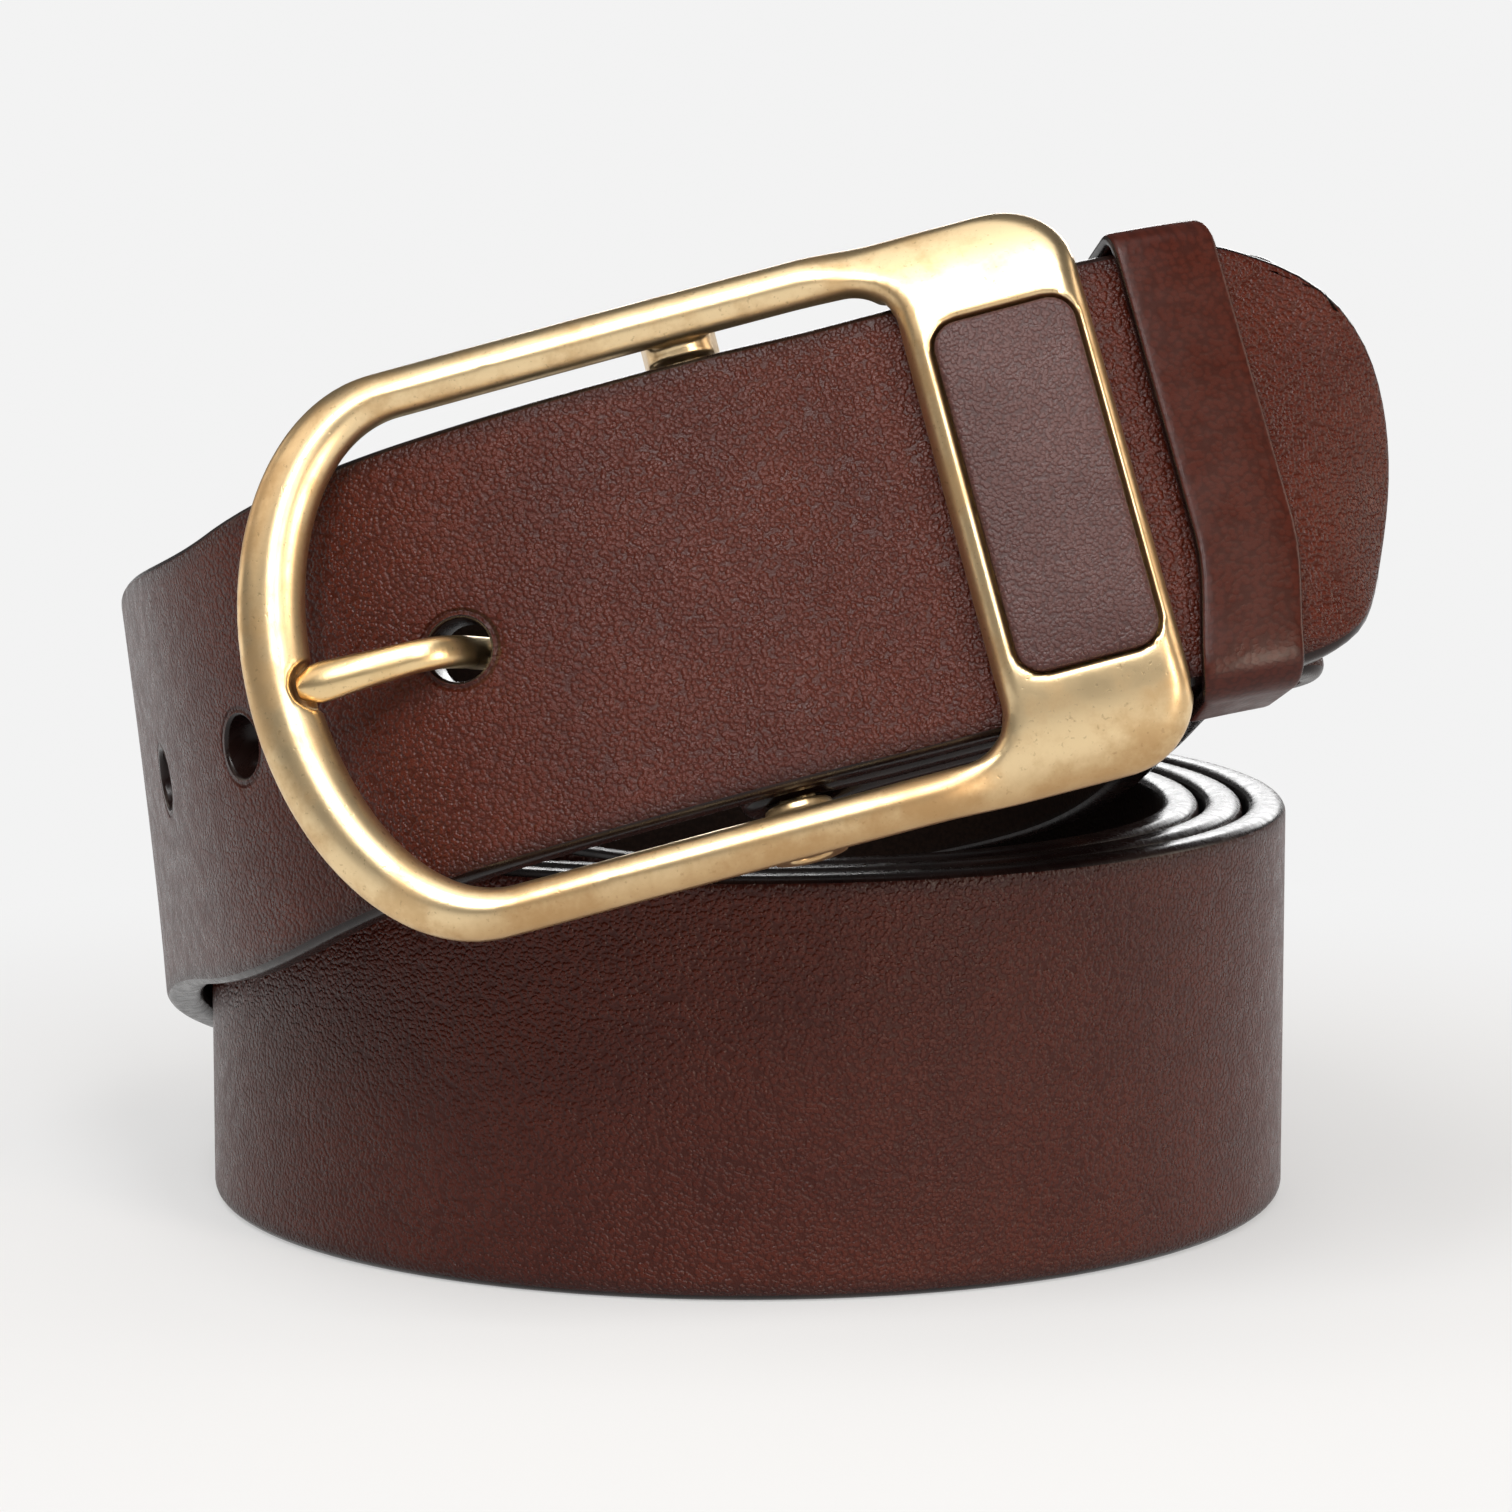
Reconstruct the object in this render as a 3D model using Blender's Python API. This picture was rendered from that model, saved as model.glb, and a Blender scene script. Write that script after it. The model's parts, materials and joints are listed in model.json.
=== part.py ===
"""Leather belt, rolled up and fastened: one strap, a centre-bar buckle and a floating keeper.

Lengths below are in millimetres; vertices are written in metres.
Coil frame: origin on the floor at the coil's centre, +X to the right, +Y to the back, +Z up.
Buckle frame: U along the belt (right), V across it (up), N out of its face, origin in the
middle of the centre bar.  The strap runs from its folded end at the bar, to the right, over
the coil wall, round the inside, outwards turn by turn, up the back and forward to the tip.
"""
import math

import bmesh
import bpy
import numpy as np
from mathutils import Matrix, Vector

# ---------------------------------------------------------------- driving sizes
MM = 0.001
CLEAR = 0.3            # gap between pieces that lie against each other

STRAP_WIDTH = 38.0
STRAP_THICK = 3.6
SKIVED_THICK = 2.8     # thinned leather of the folded end
EDGE_CHAMFER = 0.6
TAIL_LENGTH = 59.5     # from the centre bar to the tip
TIP_REACH = 17.0       # length over which the tip rounds off
HOLE_PITCH = 25.0
HOLE_COUNT = 5
FIRST_HOLE_U = -23.8
HOLE_PLAY = 3.2        # hole diameter over the prong's thickness

COIL_RADIUS = 50.0     # centre line of the outermost turn
TURN_GAP = 0.55        # between neighbouring turns
SPIRAL_START = 270.0   # degrees, counter-clockwise from the right
SPIRAL_END = 1125.0

BUCKLE_SIDE = -0.3     # centre bar to the right of the coil's centre
BUCKLE_FORWARD = 10.2  # centre bar in front of the outermost turn
BUCKLE_RAISE = 6.9     # uncoiled strap at the bar above the coil's rim
BUCKLE_YAW = -4.0
BUCKLE_LEAN = 18.8
BUCKLE_ROLL = 15.6

BAR_RADIUS = 1.6
PRONG_WIDTH = 2.8
PRONG_THICK = 2.2
EYE_WIDTH = 5.0
EYE_WALL = 1.4
SLOT_PLAY = 1.2        # slot in the fold over the eye's width
SLOT_REACH = 6.0
BAR_PLAY = 0.35        # fold round the bar

OPENING_LEFT = -36.6
OPENING_RIGHT = 18.3
OPENING_CORNER = 4.0
OPENING_PLAY = 1.8     # each side of the strap between the rails
ROUND_END_INNER = 12.2  # half length of the opening's ellipse at the round end
ROUND_END_EXTRA = 4.3
END_BAR = 5.9          # breadth of the frame at the round end
RAIL_BREADTH = 4.15
RAIL_HALF_THICK = 2.1
EDGE_ROUND = 2.0
PLATE_LENGTH = 16.0
PLATE_CORNER = 6.6
PLATE_THICK = 2.6
PLATE_PLAY = 0.75      # over the tail
PLATE_WALL = 3.2       # depth of the walls either side of the strap
PLATE_SHOULDER = 11.45  # breadth over which the plate rounds down to the rails
PLATE_FALL = 3.6
RAIL_TO_PLATE_U = 9.0  # where the rails start to widen into the plate
CHANNEL_CLEAR = 0.5    # each side of the strap under the plate
SEAT_RADIUS = 2.2      # hollow in the round end that takes the prong's point
LUG_HALF_LENGTH = 2.9
LUG_WALL = 1.4
LUG_REACH = 1.1        # lugs stand this far into the opening
LUG_ROOT = 2.8         # and this far into the rail

INLAY_RIM_LEFT = 2.1
INLAY_RIM_RIGHT = 1.2
INLAY_RIM_END = 9.25
INLAY_CORNER = 2.5
INLAY_THICK = 1.0

KEEPER_WIDTH = 8.5
KEEPER_THICK = 1.5
KEEPER_PLAY = 0.4      # round the two layers
KEEPER_TRAVEL = 3.0    # how far it can slide towards the tip
KEEPER_SWEEP = 2.4     # how far its lower end leans back along the strap
KEEPER_START = 13.4    # degrees along the bend from where the strap starts to curve
BEND_START_U = 28.0    # where tail and main layer start to curve away
TAIL_BEND = 38.0       # bend radius of the tail's centre line
SHARP_BEND = 6.5       # bend radius where the main layer turns in behind the tip
SHARP_BEND_AT = 26.0
SHARP_BEND_END = 104.0

SCREW_US = (13.2, 24.0)
SHORT_END_U = 30.0
SCREW_HEAD_RADIUS = 3.6
SCREW_RADIUS = 1.3
POST_WALL = 0.6
HEAD_THICK = 0.8

# ---------------------------------------------------------------- sizes that follow
TURN_PITCH = STRAP_THICK + TURN_GAP
INNER_RING = COIL_RADIUS - 2 * TURN_PITCH
COILED_MIDDLE = STRAP_WIDTH / 2 + 0.02
BUCKLE_CENTRE = (BUCKLE_SIDE, -(COIL_RADIUS + BUCKLE_FORWARD), 1.5 * STRAP_WIDTH + BUCKLE_RAISE)
HOLE_DIAMETER = PRONG_THICK + HOLE_PLAY
SLOT_WIDTH = EYE_WIDTH + SLOT_PLAY
EYE_RADIUS = BAR_RADIUS + CLEAR + EYE_WALL
LUG_RADIUS = BAR_RADIUS + CLEAR + LUG_WALL
POST_BORE = SCREW_RADIUS + CLEAR
POST_RADIUS = POST_BORE + POST_WALL

# levels of the leather layers and the frame above the bar axis
FOLD_RADIUS = BAR_RADIUS + BAR_PLAY + SKIVED_THICK / 2
MAIN_LEVEL = STRAP_THICK / 2 + 0.15
SHORT_LEVEL = MAIN_LEVEL - STRAP_THICK / 2 - CLEAR - SKIVED_THICK / 2
TAIL_LEVEL = MAIN_LEVEL + STRAP_THICK + CLEAR
TAIL_OVER_BAR = FOLD_RADIUS + SKIVED_THICK / 2 + CLEAR + STRAP_THICK / 2
MAIN_BEND = TAIL_BEND - STRAP_THICK - CLEAR
BEND_CENTRE_N = TAIL_LEVEL - TAIL_BEND
RAIL_LEVEL = TAIL_OVER_BAR + 0.05
RAIL_RISE = 0.8        # rails stand higher beside the plate than at the round end
PLATE_UNDER = TAIL_LEVEL + STRAP_THICK / 2 + PLATE_PLAY
PLATE_TOP = PLATE_UNDER + PLATE_THICK
PLATE_WALL_FOOT = PLATE_UNDER - PLATE_WALL

OPENING_HALF_HEIGHT = STRAP_WIDTH / 2 + OPENING_PLAY
FRAME_HALF_HEIGHT = OPENING_HALF_HEIGHT + RAIL_BREADTH
FRAME_LEFT = OPENING_LEFT - END_BAR
FRAME_RIGHT = OPENING_RIGHT + PLATE_LENGTH
ROUND_END = ROUND_END_INNER + ROUND_END_EXTRA
LUG_INNER = OPENING_HALF_HEIGHT - LUG_REACH
LUG_OUTER = OPENING_HALF_HEIGHT + LUG_ROOT
LUG_TOP = RAIL_LEVEL + 0.3
SEAT_FLOOR = RAIL_LEVEL - 1.0
INLAY_LEFT = OPENING_RIGHT + INLAY_RIM_LEFT
INLAY_RIGHT = FRAME_RIGHT - INLAY_RIM_RIGHT
INLAY_HALF_HEIGHT = FRAME_HALF_HEIGHT - INLAY_RIM_END


# width directions of the strap where it twists away from the buckle's
UPRIGHT_AT_BEND = np.array((0.0, 0.36, 0.93))
LEFT_BEND_UP = np.array((-0.14, 0.10, 0.98))
TIP_UP = np.array((-0.09, 0.14, 0.98))


# ---------------------------------------------------------------- small helpers
def clear_scene():
    for thing in list(bpy.data.objects):
        bpy.data.objects.remove(thing, do_unlink=True)


def smooth(x):
    x = min(max(x, 0.0), 1.0)
    return x * x * (3.0 - 2.0 * x)


def unit(v):
    return v / np.linalg.norm(v)


def make_material(name, colour, metallic, roughness):
    material = bpy.data.materials.new(name)
    material.use_nodes = True
    shader = material.node_tree.nodes["Principled BSDF"]
    shader.inputs["Base Color"].default_value = (*colour, 1.0)
    shader.inputs["Metallic"].default_value = metallic
    shader.inputs["Roughness"].default_value = roughness
    material.diffuse_color = (*colour, 1.0)
    return material


def buckle_matrix():
    """Placement of the buckle frame in the coil frame, lengths in metres."""
    base = Matrix(((1, 0, 0), (0, 0, -1), (0, 1, 0)))
    roll = Matrix.Rotation(math.radians(-BUCKLE_ROLL), 3, "Y")
    lean = Matrix.Rotation(math.radians(-BUCKLE_LEAN), 3, "X")
    yaw = Matrix.Rotation(math.radians(BUCKLE_YAW), 3, "Z")
    turn = (yaw @ lean @ roll @ base).to_4x4()
    return Matrix.Translation(Vector(BUCKLE_CENTRE) * MM) @ turn


BUCKLE = buckle_matrix()
AXIS_U, AXIS_V, AXIS_N = (np.array(BUCKLE.col[k][:3]) for k in range(3))
CENTRE = np.array(BUCKLE_CENTRE)


def from_buckle(u, n):
    return CENTRE + u * AXIS_U + n * AXIS_N


def add_object(name, bm, matrix=None, material=None):
    """Turn a mesh in millimetres into an object placed by `matrix` (metres)."""
    bmesh.ops.scale(bm, vec=(MM, MM, MM), verts=bm.verts[:])
    bmesh.ops.recalc_face_normals(bm, faces=bm.faces[:])
    for face in bm.faces:
        face.smooth = True
    for edge in bm.edges:
        if len(edge.link_faces) == 2 and edge.calc_face_angle() > math.radians(35):
            edge.smooth = False
    mesh = bpy.data.meshes.new(name)
    bm.to_mesh(mesh)
    bm.free()
    thing = bpy.data.objects.new(name, mesh)
    bpy.context.scene.collection.objects.link(thing)
    if matrix is not None:
        thing.matrix_world = matrix
    if material is not None:
        mesh.materials.append(material)
    return thing


def loft(bm, sections, closed):
    """Skin a row of equal sections; closed makes a ring, otherwise both ends are capped."""
    rows = [[bm.verts.new(p) for p in section] for section in sections]
    count = len(rows)
    for i in range(count if closed else count - 1):
        here, after = rows[i], rows[(i + 1) % count]
        for j in range(len(here)):
            k = (j + 1) % len(here)
            bm.faces.new((here[j], here[k], after[k], after[j]))
    if not closed:
        bm.faces.new(rows[0])
        bm.faces.new(rows[-1])


def circle(radius, height, steps=20):
    """Section round the N axis."""
    turns = [2 * math.pi * k / steps for k in range(steps)]
    return [(radius * math.cos(a), radius * math.sin(a), height) for a in turns]


def cut(target, cutter, operation="DIFFERENCE"):
    modifier = target.modifiers.new(operation.title(), "BOOLEAN")
    modifier.operation = operation
    modifier.solver = "EXACT"
    modifier.object = cutter
    cutter.hide_render = True
    cutter.display_type = "WIRE"


# ---------------------------------------------------------------- path of the strap
def turn_path(u, n, heading, arcs, step=0.25):
    """Walk through arcs (length, radius); a positive radius turns left. Angles in degrees."""
    h = math.radians(heading)
    points = [(u, n)]
    for length, radius in arcs:
        count = max(1, round(length / step))
        for _ in range(count):
            d = length / count
            turn = d / radius
            u += radius * (math.sin(h + turn) - math.sin(h))
            n -= radius * (math.cos(h + turn) - math.cos(h))
            h += turn
            points.append((u, n))
    return points


def local_layers():
    """Folded end, fold and main layer in (u, n), in the direction of travel."""
    points = []
    for u in np.arange(SHORT_END_U, 0.0, -0.25):
        points.append((u, -FOLD_RADIUS + (SHORT_LEVEL + FOLD_RADIUS) * smooth(u / 9)))
    for a in np.arange(-90.0, -270.0, -4.0):
        c, s = math.cos(math.radians(a)), math.sin(math.radians(a))
        points.append((FOLD_RADIUS * c, FOLD_RADIUS * s))
    for u in np.arange(0.0, BEND_START_U, 0.25):
        points.append((u, FOLD_RADIUS + (MAIN_LEVEL - FOLD_RADIUS) * smooth(u / 9)))
    bend = math.radians(SHARP_BEND_AT)
    sharp = math.radians(SHARP_BEND_END - SHARP_BEND_AT)
    points += turn_path(BEND_START_U, MAIN_LEVEL, 0.0,
                        [(MAIN_BEND * bend, -MAIN_BEND), (SHARP_BEND * sharp, -SHARP_BEND)])
    return points


def local_tail():
    """Tail in (u, n): left of the bar, over it, under the plate and round to the tip."""
    left = turn_path(0.0, TAIL_OVER_BAR, 180.0, [(10, 200), (15, 90), (14, 30), (8, 36)])
    points = left[::-1]
    for u in np.arange(0.25, BEND_START_U, 0.25):
        points.append((u, TAIL_OVER_BAR + (TAIL_LEVEL - TAIL_OVER_BAR) * smooth(u / 12)))
    points += turn_path(BEND_START_U, TAIL_LEVEL, 0.0, [(TAIL_LENGTH - BEND_START_U, -TAIL_BEND)])
    return points


def spiral_radius(angle):
    """Each turn steps out by one pitch over the back half and keeps its radius in front."""
    turns = angle / 360.0
    whole = math.floor(turns)
    return COIL_RADIUS - TURN_PITCH * (3 - whole) + TURN_PITCH * smooth((turns - whole) * 2)


def on_coil(angle, radius, height):
    a = math.radians(angle)
    return (radius * math.cos(a), radius * math.sin(a), height)


def outward(angle, lean):
    """Width direction on the coil, its top leaning outward by `lean` degrees."""
    a, tip = math.radians(angle), math.radians(lean)
    return (math.sin(tip) * math.cos(a), math.sin(tip) * math.sin(a), math.cos(tip))


def smooth_curve(knots, start, end, step=0.25):
    """Cubic spline through (point, width direction) knots with given end tangents."""
    data = np.array([np.r_[p, w] for p, w in knots], float)
    gaps = np.linalg.norm(np.diff(data[:, :3], axis=0), axis=1)
    where = np.r_[0.0, np.cumsum(gaps)]
    count = len(knots)
    lhs = np.zeros((count, count))
    rhs = np.zeros((count, 6))
    lhs[0, 0] = lhs[-1, -1] = 1.0
    rhs[0] = np.r_[start, np.zeros(3)]
    rhs[-1] = np.r_[end, np.zeros(3)]
    for i in range(1, count - 1):
        a, b = gaps[i - 1], gaps[i]
        lhs[i, i - 1:i + 2] = (b, 2 * (a + b), a)
        rhs[i] = 3 * (b * (data[i] - data[i - 1]) / a + a * (data[i + 1] - data[i]) / b)
    slope = np.linalg.solve(lhs, rhs)
    samples = []
    for s in np.arange(step, where[-1] - step / 2, step):
        i = min(int(np.searchsorted(where, s, side="right")) - 1, count - 2)
        h = gaps[i]
        x = (s - where[i]) / h
        samples.append((2 * x**3 - 3 * x**2 + 1) * data[i] + (x**3 - 2 * x**2 + x) * h * slope[i]
                       + (3 * x**2 - 2 * x**3) * data[i + 1] + (x**3 - x**2) * h * slope[i + 1])
    return samples


class StrapPath:
    """Centre line of the strap with its width direction, measured along its length."""

    def __init__(self):
        samples = []
        first = local_layers()
        turning = len(first) - SHARP_BEND * math.radians(SHARP_BEND_END - SHARP_BEND_AT) / 0.25
        for k, (u, n) in enumerate(first):
            twist = smooth((k - turning) / (len(first) - turning))
            samples.append(np.r_[from_buckle(u, n), AXIS_V + (UPRIGHT_AT_BEND - AXIS_V) * twist])
        self.main_count = len(samples)
        middle = SHARP_BEND_END * math.pi / 180
        leave = math.cos(middle) * AXIS_U - math.sin(middle) * AXIS_N
        low = COILED_MIDDLE
        ring = INNER_RING
        knots = [(samples[-1][:3], UPRIGHT_AT_BEND),
                 (CENTRE + (42.5, 24.2, 5.9), (0.02, 0.30, 0.95)),
                 (on_coil(-22, ring + 1.0, low + STRAP_WIDTH + 7.6), (0.0, 0.20, 0.97)),
                 (on_coil(12, ring - 4.3, low + STRAP_WIDTH + 0.8), (-0.02, 0.10, 0.99)),
                 (on_coil(45, ring - 4.5, low + STRAP_WIDTH - 7.8), (0, 0, 1)),
                 (on_coil(90, ring - 4.1, low + STRAP_WIDTH - 15.4), (0, 0, 1)),
                 (on_coil(135, ring - 2.9, low + 0.4 * STRAP_WIDTH), (0, 0, 1)),
                 (on_coil(180, ring - 1.3, low + 8.4), (0, 0, 1)),
                 (on_coil(225, ring - 0.2, low + 2.9), (0, 0, 1)),
                 (on_coil(SPIRAL_START, spiral_radius(SPIRAL_START), low), (0, 0, 1))]
        a = math.radians(SPIRAL_START + 90)
        samples += smooth_curve(knots, leave, (math.cos(a), math.sin(a), 0))
        for angle in np.arange(SPIRAL_START, SPIRAL_END - 1.0, 0.5):
            samples.append(np.r_[on_coil(angle, spiral_radius(angle), low), 0, 0, 1])
        tail = local_tail()
        enter = unit(from_buckle(*tail[1]) - from_buckle(*tail[0]))
        back = on_coil(SPIRAL_END, spiral_radius(SPIRAL_END) - 0.02, low)
        a = math.radians(SPIRAL_END + 90)
        outer = COIL_RADIUS + TURN_PITCH
        rise = BUCKLE_CENTRE[2] - low - 20.98
        knots = [(back, (0, 0, 1)),
                 (on_coil(1170, outer - TURN_PITCH / 2 + 0.22, low + 0.6), outward(1170, 1)),
                 (on_coil(1215, outer + 0.65, low + rise / 5 + 0.22), outward(1215, 3)),
                 (on_coil(1260, outer + 1.65, low + rise - 6.3), outward(1260, 5.5)),
                 (on_coil(1285.5, outer + 4.0, low + rise), LEFT_BEND_UP),
                 (from_buckle(*tail[0]), 0.75 * AXIS_V + 0.25 * LEFT_BEND_UP)]
        samples += smooth_curve(knots, (math.cos(a), math.sin(a), 0), enter)
        self.tail_index = len(samples)
        keeper_end = BEND_START_U + math.radians(KEEPER_START) * TAIL_BEND + KEEPER_WIDTH
        free_tail = TAIL_LENGTH - keeper_end - KEEPER_TRAVEL
        for k, (u, n) in enumerate(tail):
            start = 0.25 * (1 - smooth(k * 0.25 / 20))
            end = smooth(1 - (len(tail) - 1 - k) * 0.25 / free_tail)
            way = AXIS_V + start * (LEFT_BEND_UP - AXIS_V) + end * (TIP_UP - AXIS_V)
            samples.append(np.r_[from_buckle(u, n), way])
        samples = np.array(samples)
        self.points = samples[:, :3]
        self.s = np.r_[0.0, np.cumsum(np.linalg.norm(np.diff(self.points, axis=0), axis=1))]
        self.length = self.s[-1]
        tangent = np.gradient(self.points, self.s, axis=0)
        tangent /= np.linalg.norm(tangent, axis=1)[:, None]
        normal = np.cross(tangent, samples[:, 3:])
        self.normal = normal / np.linalg.norm(normal, axis=1)[:, None]
        self.width = np.cross(self.normal, tangent)
        self.tangent = tangent

    def at(self, s, v, d):
        """Point at length s, v across the strap and d out of its grain face."""
        parts = [np.array([np.interp(s, self.s, table[:, k]) for k in range(3)])
                 for table in (self.points, self.width, self.normal)]
        return parts[0] + v * parts[1] + d * parts[2]

    def find_u(self, u, first, last):
        """Length at which the path passes u between two sample indices."""
        local = (self.points[first:last] - CENTRE) @ AXIS_U
        return float(self.s[first + int(np.argmin(np.abs(local - u)))])

    def thickness(self, s):
        start = SHORT_END_U + math.pi * FOLD_RADIUS + 1.0
        return SKIVED_THICK + (STRAP_THICK - SKIVED_THICK) * smooth((s - start) / 8)

    def rows(self, angle=9.0, longest=12.0):
        """Lengths at which the strap gets a cross row: closer where it bends."""
        found = [0.0]
        turned = 0.0
        for k in range(1, len(self.s) - 1):
            if self.s[k] > self.length - TIP_REACH - 1.0:
                break
            alike = min(1.0, float(self.tangent[k - 1] @ self.tangent[k]))
            turned += math.degrees(math.acos(alike))
            folded = self.s[k] < 2 * SHORT_END_U + math.pi * FOLD_RADIUS
            widest, furthest = (15.0, 3.0) if folded else (angle, longest)
            if turned >= widest or self.s[k] - found[-1] >= furthest:
                found.append(float(self.s[k]))
                turned = 0.0
        for a in (0, 18, 36, 50, 62, 72, 81):
            found.append(self.length - TIP_REACH + TIP_REACH * math.sin(math.radians(a)))
        return found


def build_strap(path, material):
    half, thick = STRAP_WIDTH / 2, STRAP_THICK / 2
    sections = []
    for s in path.rows():
        over = (s - (path.length - TIP_REACH)) / TIP_REACH
        wide = half * math.sqrt(1 - max(0.0, over) ** 2)
        inner = wide - EDGE_CHAMFER
        low = thick - EDGE_CHAMFER
        across = [-inner, -wide / 2, 0.0, wide / 2, inner]
        sections.append([(s, v, -thick) for v in across] + [(s, wide, -low), (s, wide, low)]
                        + [(s, v, thick) for v in across[::-1]]
                        + [(s, -wide, low), (s, -wide, -low)])
    bm = bmesh.new()
    loft(bm, sections, closed=False)
    flat = add_object("strap_flat", bm)

    bm = bmesh.new()
    main = path.find_u(FIRST_HOLE_U, path.tail_index, len(path.s))
    for k in range(HOLE_COUNT):
        punch(bm, main - k * HOLE_PITCH, HOLE_DIAMETER / 2, -3, 3)
    quarter = int(SHORT_END_U / 0.25)
    for u in SCREW_US:
        s_short = path.find_u(u, 0, quarter)
        s_main = path.find_u(u, quarter + 30, path.main_count)
        punch(bm, s_short, POST_RADIUS + CLEAR, -3, 3)
        punch(bm, s_main, POST_RADIUS + CLEAR, -3, 3)
        punch(bm, s_main, SCREW_HEAD_RADIUS + CLEAR, thick - HEAD_THICK - 2 * CLEAR, 3)
    fold_middle = SHORT_END_U + math.pi * FOLD_RADIUS / 2 + 0.2
    reach = math.pi * FOLD_RADIUS / 2 + SLOT_REACH
    slot = stadium(reach, SLOT_WIDTH / 2)
    loft(bm, [[(fold_middle + x, y, z) for x, y in slot] for z in (-3, 3)], closed=False)
    holes = add_object("strap_holes", bm)
    cut(flat, holes)
    flat.modifiers["Difference"].use_self = True

    bpy.context.view_layer.update()
    graph = bpy.context.evaluated_depsgraph_get()
    mesh = bpy.data.meshes.new_from_object(flat.evaluated_get(graph))
    bm = bmesh.new()
    bm.from_mesh(mesh)
    bmesh.ops.triangulate(bm, faces=bm.faces[:])
    for vert in bm.verts:
        s, v, d = (c / MM for c in vert.co)
        vert.co = path.at(s, v, d * path.thickness(s) / STRAP_THICK)
    bpy.data.objects.remove(flat, do_unlink=True)
    bpy.data.objects.remove(holes, do_unlink=True)
    return add_object("strap", bm, material=material)


def punch(bm, s, radius, low, high):
    ring = [(s + radius * math.cos(a), radius * math.sin(a))
            for a in (2 * math.pi * k / 20 for k in range(20))]
    loft(bm, [[(x, y, z) for x, y in ring] for z in (low, high)], closed=False)


def stadium(reach, half, steps=8):
    points = []
    for side in (1, -1):
        for k in range(steps + 1):
            a = math.pi * (k / steps - 0.5)
            points.append((side * (reach - half + half * math.cos(a)), side * half * math.sin(a)))
    return points


# ---------------------------------------------------------------- buckle
def along(points, count):
    """Resample a broken line into count + 1 evenly spaced points."""
    points = np.array(points, float)
    s = np.r_[0.0, np.cumsum(np.linalg.norm(np.diff(points, axis=0), axis=1))]
    at = np.linspace(0.0, s[-1], count + 1)
    return [(float(np.interp(x, s, points[:, 0])), float(np.interp(x, s, points[:, 1]))) for x in at]


def corner_line(edge_u, edge_v, radius, start_u):
    """From the lower rail at start_u round the lower right corner, ending on the right side."""
    points = [(start_u, -edge_v)]
    for k in range(9):
        a = math.pi / 2 * k / 8
        points.append((edge_u - radius + radius * math.sin(a), -edge_v + radius - radius * math.cos(a)))
    return points


def outline(left, half_length, half_height, right, corner):
    """Closed outline: round end on the left, rounded corners on the right, 54 points."""
    points = []
    for k in range(20):
        a = math.pi * (0.5 + k / 20)
        points.append((left + half_length + half_length * math.cos(a), half_height * math.sin(a)))
    points += along([(left + half_length, -half_height), (RAIL_TO_PLATE_U, -half_height)], 7)[:-1]
    lower = along(corner_line(right, half_height, corner, RAIL_TO_PLATE_U), 7)
    points += lower[:-1]
    points += along([lower[-1], (lower[-1][0], -lower[-1][1])], 6)[:-1]
    upper = [(u, -v) for u, v in lower[::-1]]
    points += upper[:-1]
    points += along([(RAIL_TO_PLATE_U, half_height), (left + half_length, half_height)], 7)[:-1]
    return points


def frame_levels(u, v):
    """Top and underside of the frame above the bar axis, before the edges are rounded."""
    middle = RAIL_LEVEL + RAIL_RISE * smooth(1 - u / FRAME_LEFT)
    rail_top, rail_low = middle + RAIL_HALF_THICK, middle - RAIL_HALF_THICK
    fall = max(0.0, 1 - (FRAME_HALF_HEIGHT - abs(v)) / PLATE_SHOULDER)
    plate_top = PLATE_TOP - PLATE_FALL * fall ** 2.2
    mix = smooth((u - RAIL_TO_PLATE_U) / (OPENING_RIGHT - RAIL_TO_PLATE_U))
    return rail_top + (plate_top - rail_top) * mix, rail_low + (PLATE_WALL_FOOT - rail_low) * mix


def frame_section(inner, outer):
    """Cross-section between the opening and the outer edge, with rounded edges."""
    inner, outer = np.array(inner), np.array(outer)
    wide = float(np.linalg.norm(outer - inner))
    radius = min(EDGE_ROUND, 0.45 * wide)
    steps = [(0.0, 0.0), (0.134, 0.5), (0.5, 0.866), (1.0, 1.0)]
    spots = [(radius * x / wide, y) for x, y in steps]
    spots += [(0.5, 1.0)] + [(1 - f, y) for f, y in spots[::-1]]
    top, under = [], []
    for f, rise in spots:
        u, v = inner + (outer - inner) * f
        high, low = frame_levels(u, v)
        middle, half = (high + low) / 2, (high - low) / 2
        top.append((u, v, middle + half * rise))
        under.append((u, v, middle - half * rise))
    return top + under[-2:0:-1]


def rounded_rectangle(left, right, half, corner, steps=4):
    points = []
    for cu, cv, start in ((right - corner, half - corner, 0), (left + corner, half - corner, 90),
                          (left + corner, -half + corner, 180), (right - corner, -half + corner, 270)):
        for k in range(steps + 1):
            a = math.radians(start + 90 * k / steps)
            points.append((cu + corner * math.cos(a), cv + corner * math.sin(a)))
    return points


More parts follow.
